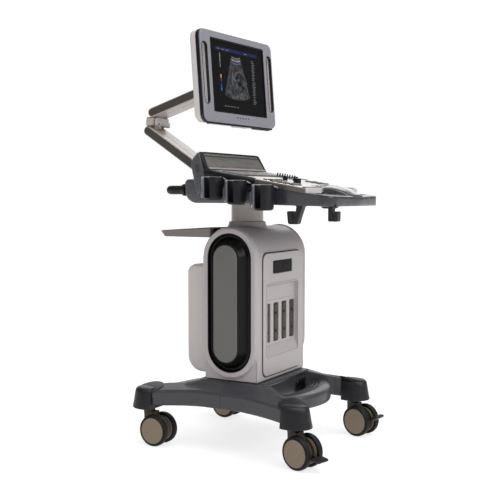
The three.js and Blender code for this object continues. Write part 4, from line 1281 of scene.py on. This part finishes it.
def monitor_edge_strip():
    """Ribbed strip under the monitor's lower right edge."""
    return merged(*[block(u - 3, u + 3, 1, 12, -157.4, -152.5, 0.8, 2) for u in range(78, 169, 10)])


def screen_gasket():
    return slab("y", rect(-158, 158, -119.5, 119.5, 5), -3.0, 2.5,
                holes=[rect(-150.5, 150.5, -112.5, 112.5, 2)], soft=0.9)


def bezel_lip():
    """Black lip that shows under the bezel's lower edge."""
    return slab("y", rect(-180, 190, -154.6, -140, 6), 0.5, 14, soft=1.4)


def side_gasket():
    """Dark band that runs round the monitor between its bezel and its shell."""
    holes = [rect(-150, 150, -110, 110, 4)] + [grip_outline(*g, 14.6) for g in GRIPS]
    return slab("y", monitor_outline(-1.0, 25), 2.6, 15, holes=holes, soft=1.6)


def monitor_back():
    steps = [(0.5, 24, 15), (0.4, 24, 28), (2, 23, 35), (6, 20, 39.5), (14, 15, 41.5), (58, 12, 43),
             (66, 12, 46.5), (72, 12, 48.6), (80, 10, 49)]
    parts = [layers("y", [(monitor_outline(margin, corner), w) for margin, corner, w in steps])]
    for side in (1, -1):
        parts.append(slab("x", ellipse(TILT_Y - SCREEN_Y, -17, 9, 9, 32), side * 16.4, side * 26, soft=1))
        parts.append(block(*sorted((side * 16.4, side * 26)), 44, 71, -26, -8, 1.2))
    vents = [block(u - 3.4, u + 3.4, 47.4, 50.2, 30, 58, 1) for u in range(-63, 64, 14)]
    return merged(*parts, *vents)


def add_arm():
    turret = lathe("z", [(0, 848.3), (21, 848.3), (21, 851), (20, 852.5), (20, 857), (18.5, 858.5),
                         (0, 858.5)], 48, (0, 136, 0))
    bracket = slab("x", rounded([(122, 854, 3), (160, 854, 3), (167, 866, 5), (140, 866, 5)], 4), -20, 20,
                   soft=1.5)
    turret = merged(turret, bracket, pivot_disc(*ARM_ROOT, 1.6))
    put("arm_base", ("arm_turret", turret, "console_grey", "console", ["arm_base"]))
    for name, start, end in (("lower", ARM_ROOT, ELBOW_LOW), ("upper", ELBOW_HIGH, ARM_TIP)):
        place, length = along(start, end)
        body = name + "_arm"
        put(body,
            ("link_" + name, arm_link(length), "arm_beige", "arm", [body]),
            ("inlay_" + name, arm_inlays(length), "dark_plastic", "inlay"),
            ("cover_" + name, merged(cable_cover(length, 1), cable_cover(length, -1)), "arm_beige", "arm"),
            local=place)
    put("arm_knuckle",
        ("knuckle", knuckle_block(), "arm_beige", "arm", ["arm_knuckle"]),
        ("knuckle_bracket", knuckle_bracket(), "arm_beige", "shell"),
        ("knuckle_lines", knuckle_lines(), "dark_plastic", "gap"))
    put("monitor_mount", ("monitor_post", monitor_post(), "arm_beige", "arm", ["monitor_mount"]))
    put("monitor_yoke", ("yoke", yoke(), "dark_plastic", "cap_dark", ["monitor_yoke"]), local=HEAD)


# ---------------------------------------------------------------- monitor
def picture_part(outline, depth, thick):
    """Flat element of the screen's picture, with its face at the given depth."""
    return layers("y", [(outline, depth + thick), (outline, depth)])


def flat_fan(apex, radius0, radius1, start, end, depth, steps=28):
    return picture_part(arc(*apex, radius1, start, end, steps) + arc(*apex, radius0, end, start, steps),
                        depth, 0.25)


def mark(u0, u1, w0, w1, depth=-0.35):
    return block(u0, u1, depth, depth + 0.3, w0, w1, 0.0)


def spot(u, w, a, b, depth=-0.55):
    return picture_part(ellipse(u, w, a, b, 28), depth, 0.2)


def hoop(u, w, a, b, width, start, end):
    """Flat elliptical band of the echo picture."""
    outer = oval_arc(u, w, a, b, start, end, 40)
    return picture_part(outer + oval_arc(u, w, a - width, b - width, end, start, 40), -0.55, 0.2)


def add_screen():
    def show(name, bm, look):
        piece(name, bm, "monitor", "screen", look, local=SCREEN, sharp=20)

    face = slab("y", rect(-152, 152, -114, 114, 1.5), 0, 6.4, soft=0.3)
    put("monitor", ("display_glass", face, "screen", "display", ["monitor_screen"]), local=SCREEN)
    apex = (-12, 137)
    show("echo_fan", flat_fan(apex, 69, 207, 249.5, 290.5, -0.3), "echo")
    arcs = [flat_fan(apex, r, r + wide, 251, 289, -0.5, 16) for r, wide in ((71, 2), (78, 5), (89, 1.2))]
    show("echo_layers", merged(*arcs), "echo_bright")
    show("echo_tissue", merged(hoop(2, -14, 44, 37, 3, -20, 200), hoop(8, -22, 27, 24, 2, 130, 420),
                               spot(14, -50, 22, 6), spot(-36, 2, 5, 16), spot(-2, -60, 30, 4),
                               hoop(22, -14, 10, 12, 2, 0, 200)), "tissue")
    show("echo_chamber", merged(spot(4, -16, 9, 8, -0.75), spot(-10, 4, 6, 4, -0.75),
                                spot(22, -26, 6, 5, -0.75)), "display")
    show("flow_red", merged(spot(-26, 8, 7, 3.4, -0.8), spot(-18, 12, 5, 2.4, -0.8)), "bar_red")
    show("flow_blue", merged(spot(-30, -3, 6, 3, -0.8), spot(-22, -7, 5, 3.4, -0.8)), "bar_cyan")
    show("title_bar", mark(-127, 117, 81, 92), "title")
    show("grey_scale", mark(-104, -100.5, 28, 74), "echo_bright")
    for i, tone in enumerate(("bar_yellow", "bar_red", "title", "bar_blue", "bar_cyan")):
        top = 5 - 10.4 * i
        show("colour_scale_%d" % (i + 1), mark(-105, -99, top - 10, top), tone)
    ticks = [mark(-91 + 17 * i, -80 + 17 * i, -94.5, -92) for i in range(5)]
    ticks += [mark(u, u + 14, 84.5, 87.5, -0.6) for u in (-116, -92, -66, 40)]
    for i in range(26):
        w = 68 - 5.6 * i
        ticks.append(mark(79 + i * 7 % 5, 90 + i * 5 % 11, w - 2.4, w))
    show("screen_marks", merged(*ticks), "marks")


def add_monitor():
    put("monitor",
        ("bezel", bezel(), "bezel", "bezel", ["monitor_bezel"]),
        ("bezel_buttons", bezel_buttons(), "dark_plastic", "console_dark"),
        ("grip_rims", grip_lining(-4.0, 6.4, 14.6, 1.1, False), "dark_plastic", "gasket"),
        ("grip_wells", grip_lining(6.5, 15.0, 14.6, 1.1, True), "shell", "shell"),
        ("monitor_latch", block(-45, 38, 3, 12.5, -157.2, -152.6, 1.2), "shell", "shell"),
        ("monitor_ribs", monitor_edge_strip(), "dark_plastic", "gasket"),
        ("screen_gasket", screen_gasket(), "dark_plastic", "gasket"),
        ("bezel_lip", bezel_lip(), "dark_plastic", "gasket"),
        ("side_gasket", side_gasket(), "dark_plastic", "gasket"),
        ("monitor_back", monitor_back(), "shell", "shell", ["monitor_shell"], 50), local=SCREEN)
    add_screen()


# ---------------------------------------------------------------- studio
FLOOR_HALF, FLOOR_GLOW = 150, 0.76
CAMERA_SPOT, HEADING, DIP = (-2.580, -1.456, 0.796), TURN(60.39), TURN(3.42)
FOCAL_PX, PICTURE_PX, SENSOR = 911, 500, 36
# Each lamp: place, the point that it faces, size and power.
LAMPS = {
    "left": ((-2.6, 0.6, 1.6), (0, 0, 0.7), (0.9, 1.8), 3),
    "front": ((-0.3, -3.2, 2.0), (0, 0, 0.7), (1.6, 1.6), 34),
    "behind": ((2.3, 1.3, 2.5), (0, 0, 0.4), (2.6, 2.0), 22),
}


def link(name, data, spot=(0, 0, 0), facing=None):
    """Puts a light, camera or mesh in the scene, turned to face along a direction."""
    made = bpy.data.objects.new(name, data)
    made.location = spot
    if facing is not None:
        made.rotation_euler = facing.to_track_quat("-Z", "Y").to_euler()
    bpy.context.scene.collection.objects.link(made)
    return made


def add_floor():
    floor = bpy.data.meshes.new("floor")
    corners = [(u * FLOOR_HALF, v * FLOOR_HALF, 0) for u, v in ((-1, -1), (1, -1), (1, 1), (-1, 1))]
    floor.from_pydata(corners, [], [(0, 1, 2, 3)])
    paper = surface("floor_paper", (0.3, 0.3, 0.3, 1), 0.95, mottle=0.01, bump=0.02, rough_swing=0.02,
                    shine=0.0)
    shader = paper.node_tree.nodes["Principled BSDF"]
    shader.inputs["Emission Color"].default_value = (1, 1, 1, 1)
    shader.inputs["Emission Strength"].default_value = FLOOR_GLOW
    floor.materials.append(paper)
    ground = link("floor", floor)


def add_world():
    """White towards the camera's view, dim elsewhere, so that reflections have a dark side."""
    world = bpy.data.worlds.new("studio")
    world.use_nodes = True
    tree = world.node_tree
    place = node(tree, "TexCoord", {}).outputs["Generated"]
    ahead = node(tree, "VectorMath", {0: place, 1: (0.869, 0.494, 0.0)}, operation="DOT_PRODUCT")
    fade = node(tree, "MapRange", {"Value": ahead.outputs["Value"], "From Min": 0.72, "From Max": 0.93,
                                   "To Min": 0.22, "To Max": 1.03}, interpolation_type="SMOOTHSTEP")
    background = tree.nodes["Background"]
    tree.links.new(fade.outputs["Result"], background.inputs["Strength"])
    background.inputs["Color"].default_value = (1, 1, 1, 1)
    bpy.context.scene.world = world


def add_lights():
    sky = bpy.data.lights.new("overhead", "SUN")
    sky.energy = 3.0
    sky.angle = TURN(70)
    link("overhead", sky, facing=Vector((0.1, 0.3, -1)))
    for name, (spot, aim, size, power) in LAMPS.items():
        data = bpy.data.lights.new(name, "AREA")
        data.shape = "RECTANGLE"
        data.size, data.size_y = size
        data.energy = power
        link(name, data, spot, Vector(aim) - Vector(spot))
    bpy.context.scene.view_settings.view_transform = "Standard"


def add_camera():
    data = bpy.data.cameras.new("camera")
    data.sensor_width = SENSOR
    data.lens = FOCAL_PX / PICTURE_PX * SENSOR
    data.clip_end = 200
    facing = Vector((math.sin(HEADING) * math.cos(DIP), math.cos(HEADING) * math.cos(DIP), -math.sin(DIP)))
    bpy.context.scene.camera = link("camera", data, Vector(CAMERA_SPOT) + ORIGIN, facing)


# ---------------------------------------------------------------- assembly
add_base()
add_cabinet()
add_console()
add_arm()
add_monitor()
add_floor()
add_world()
add_lights()
add_camera()
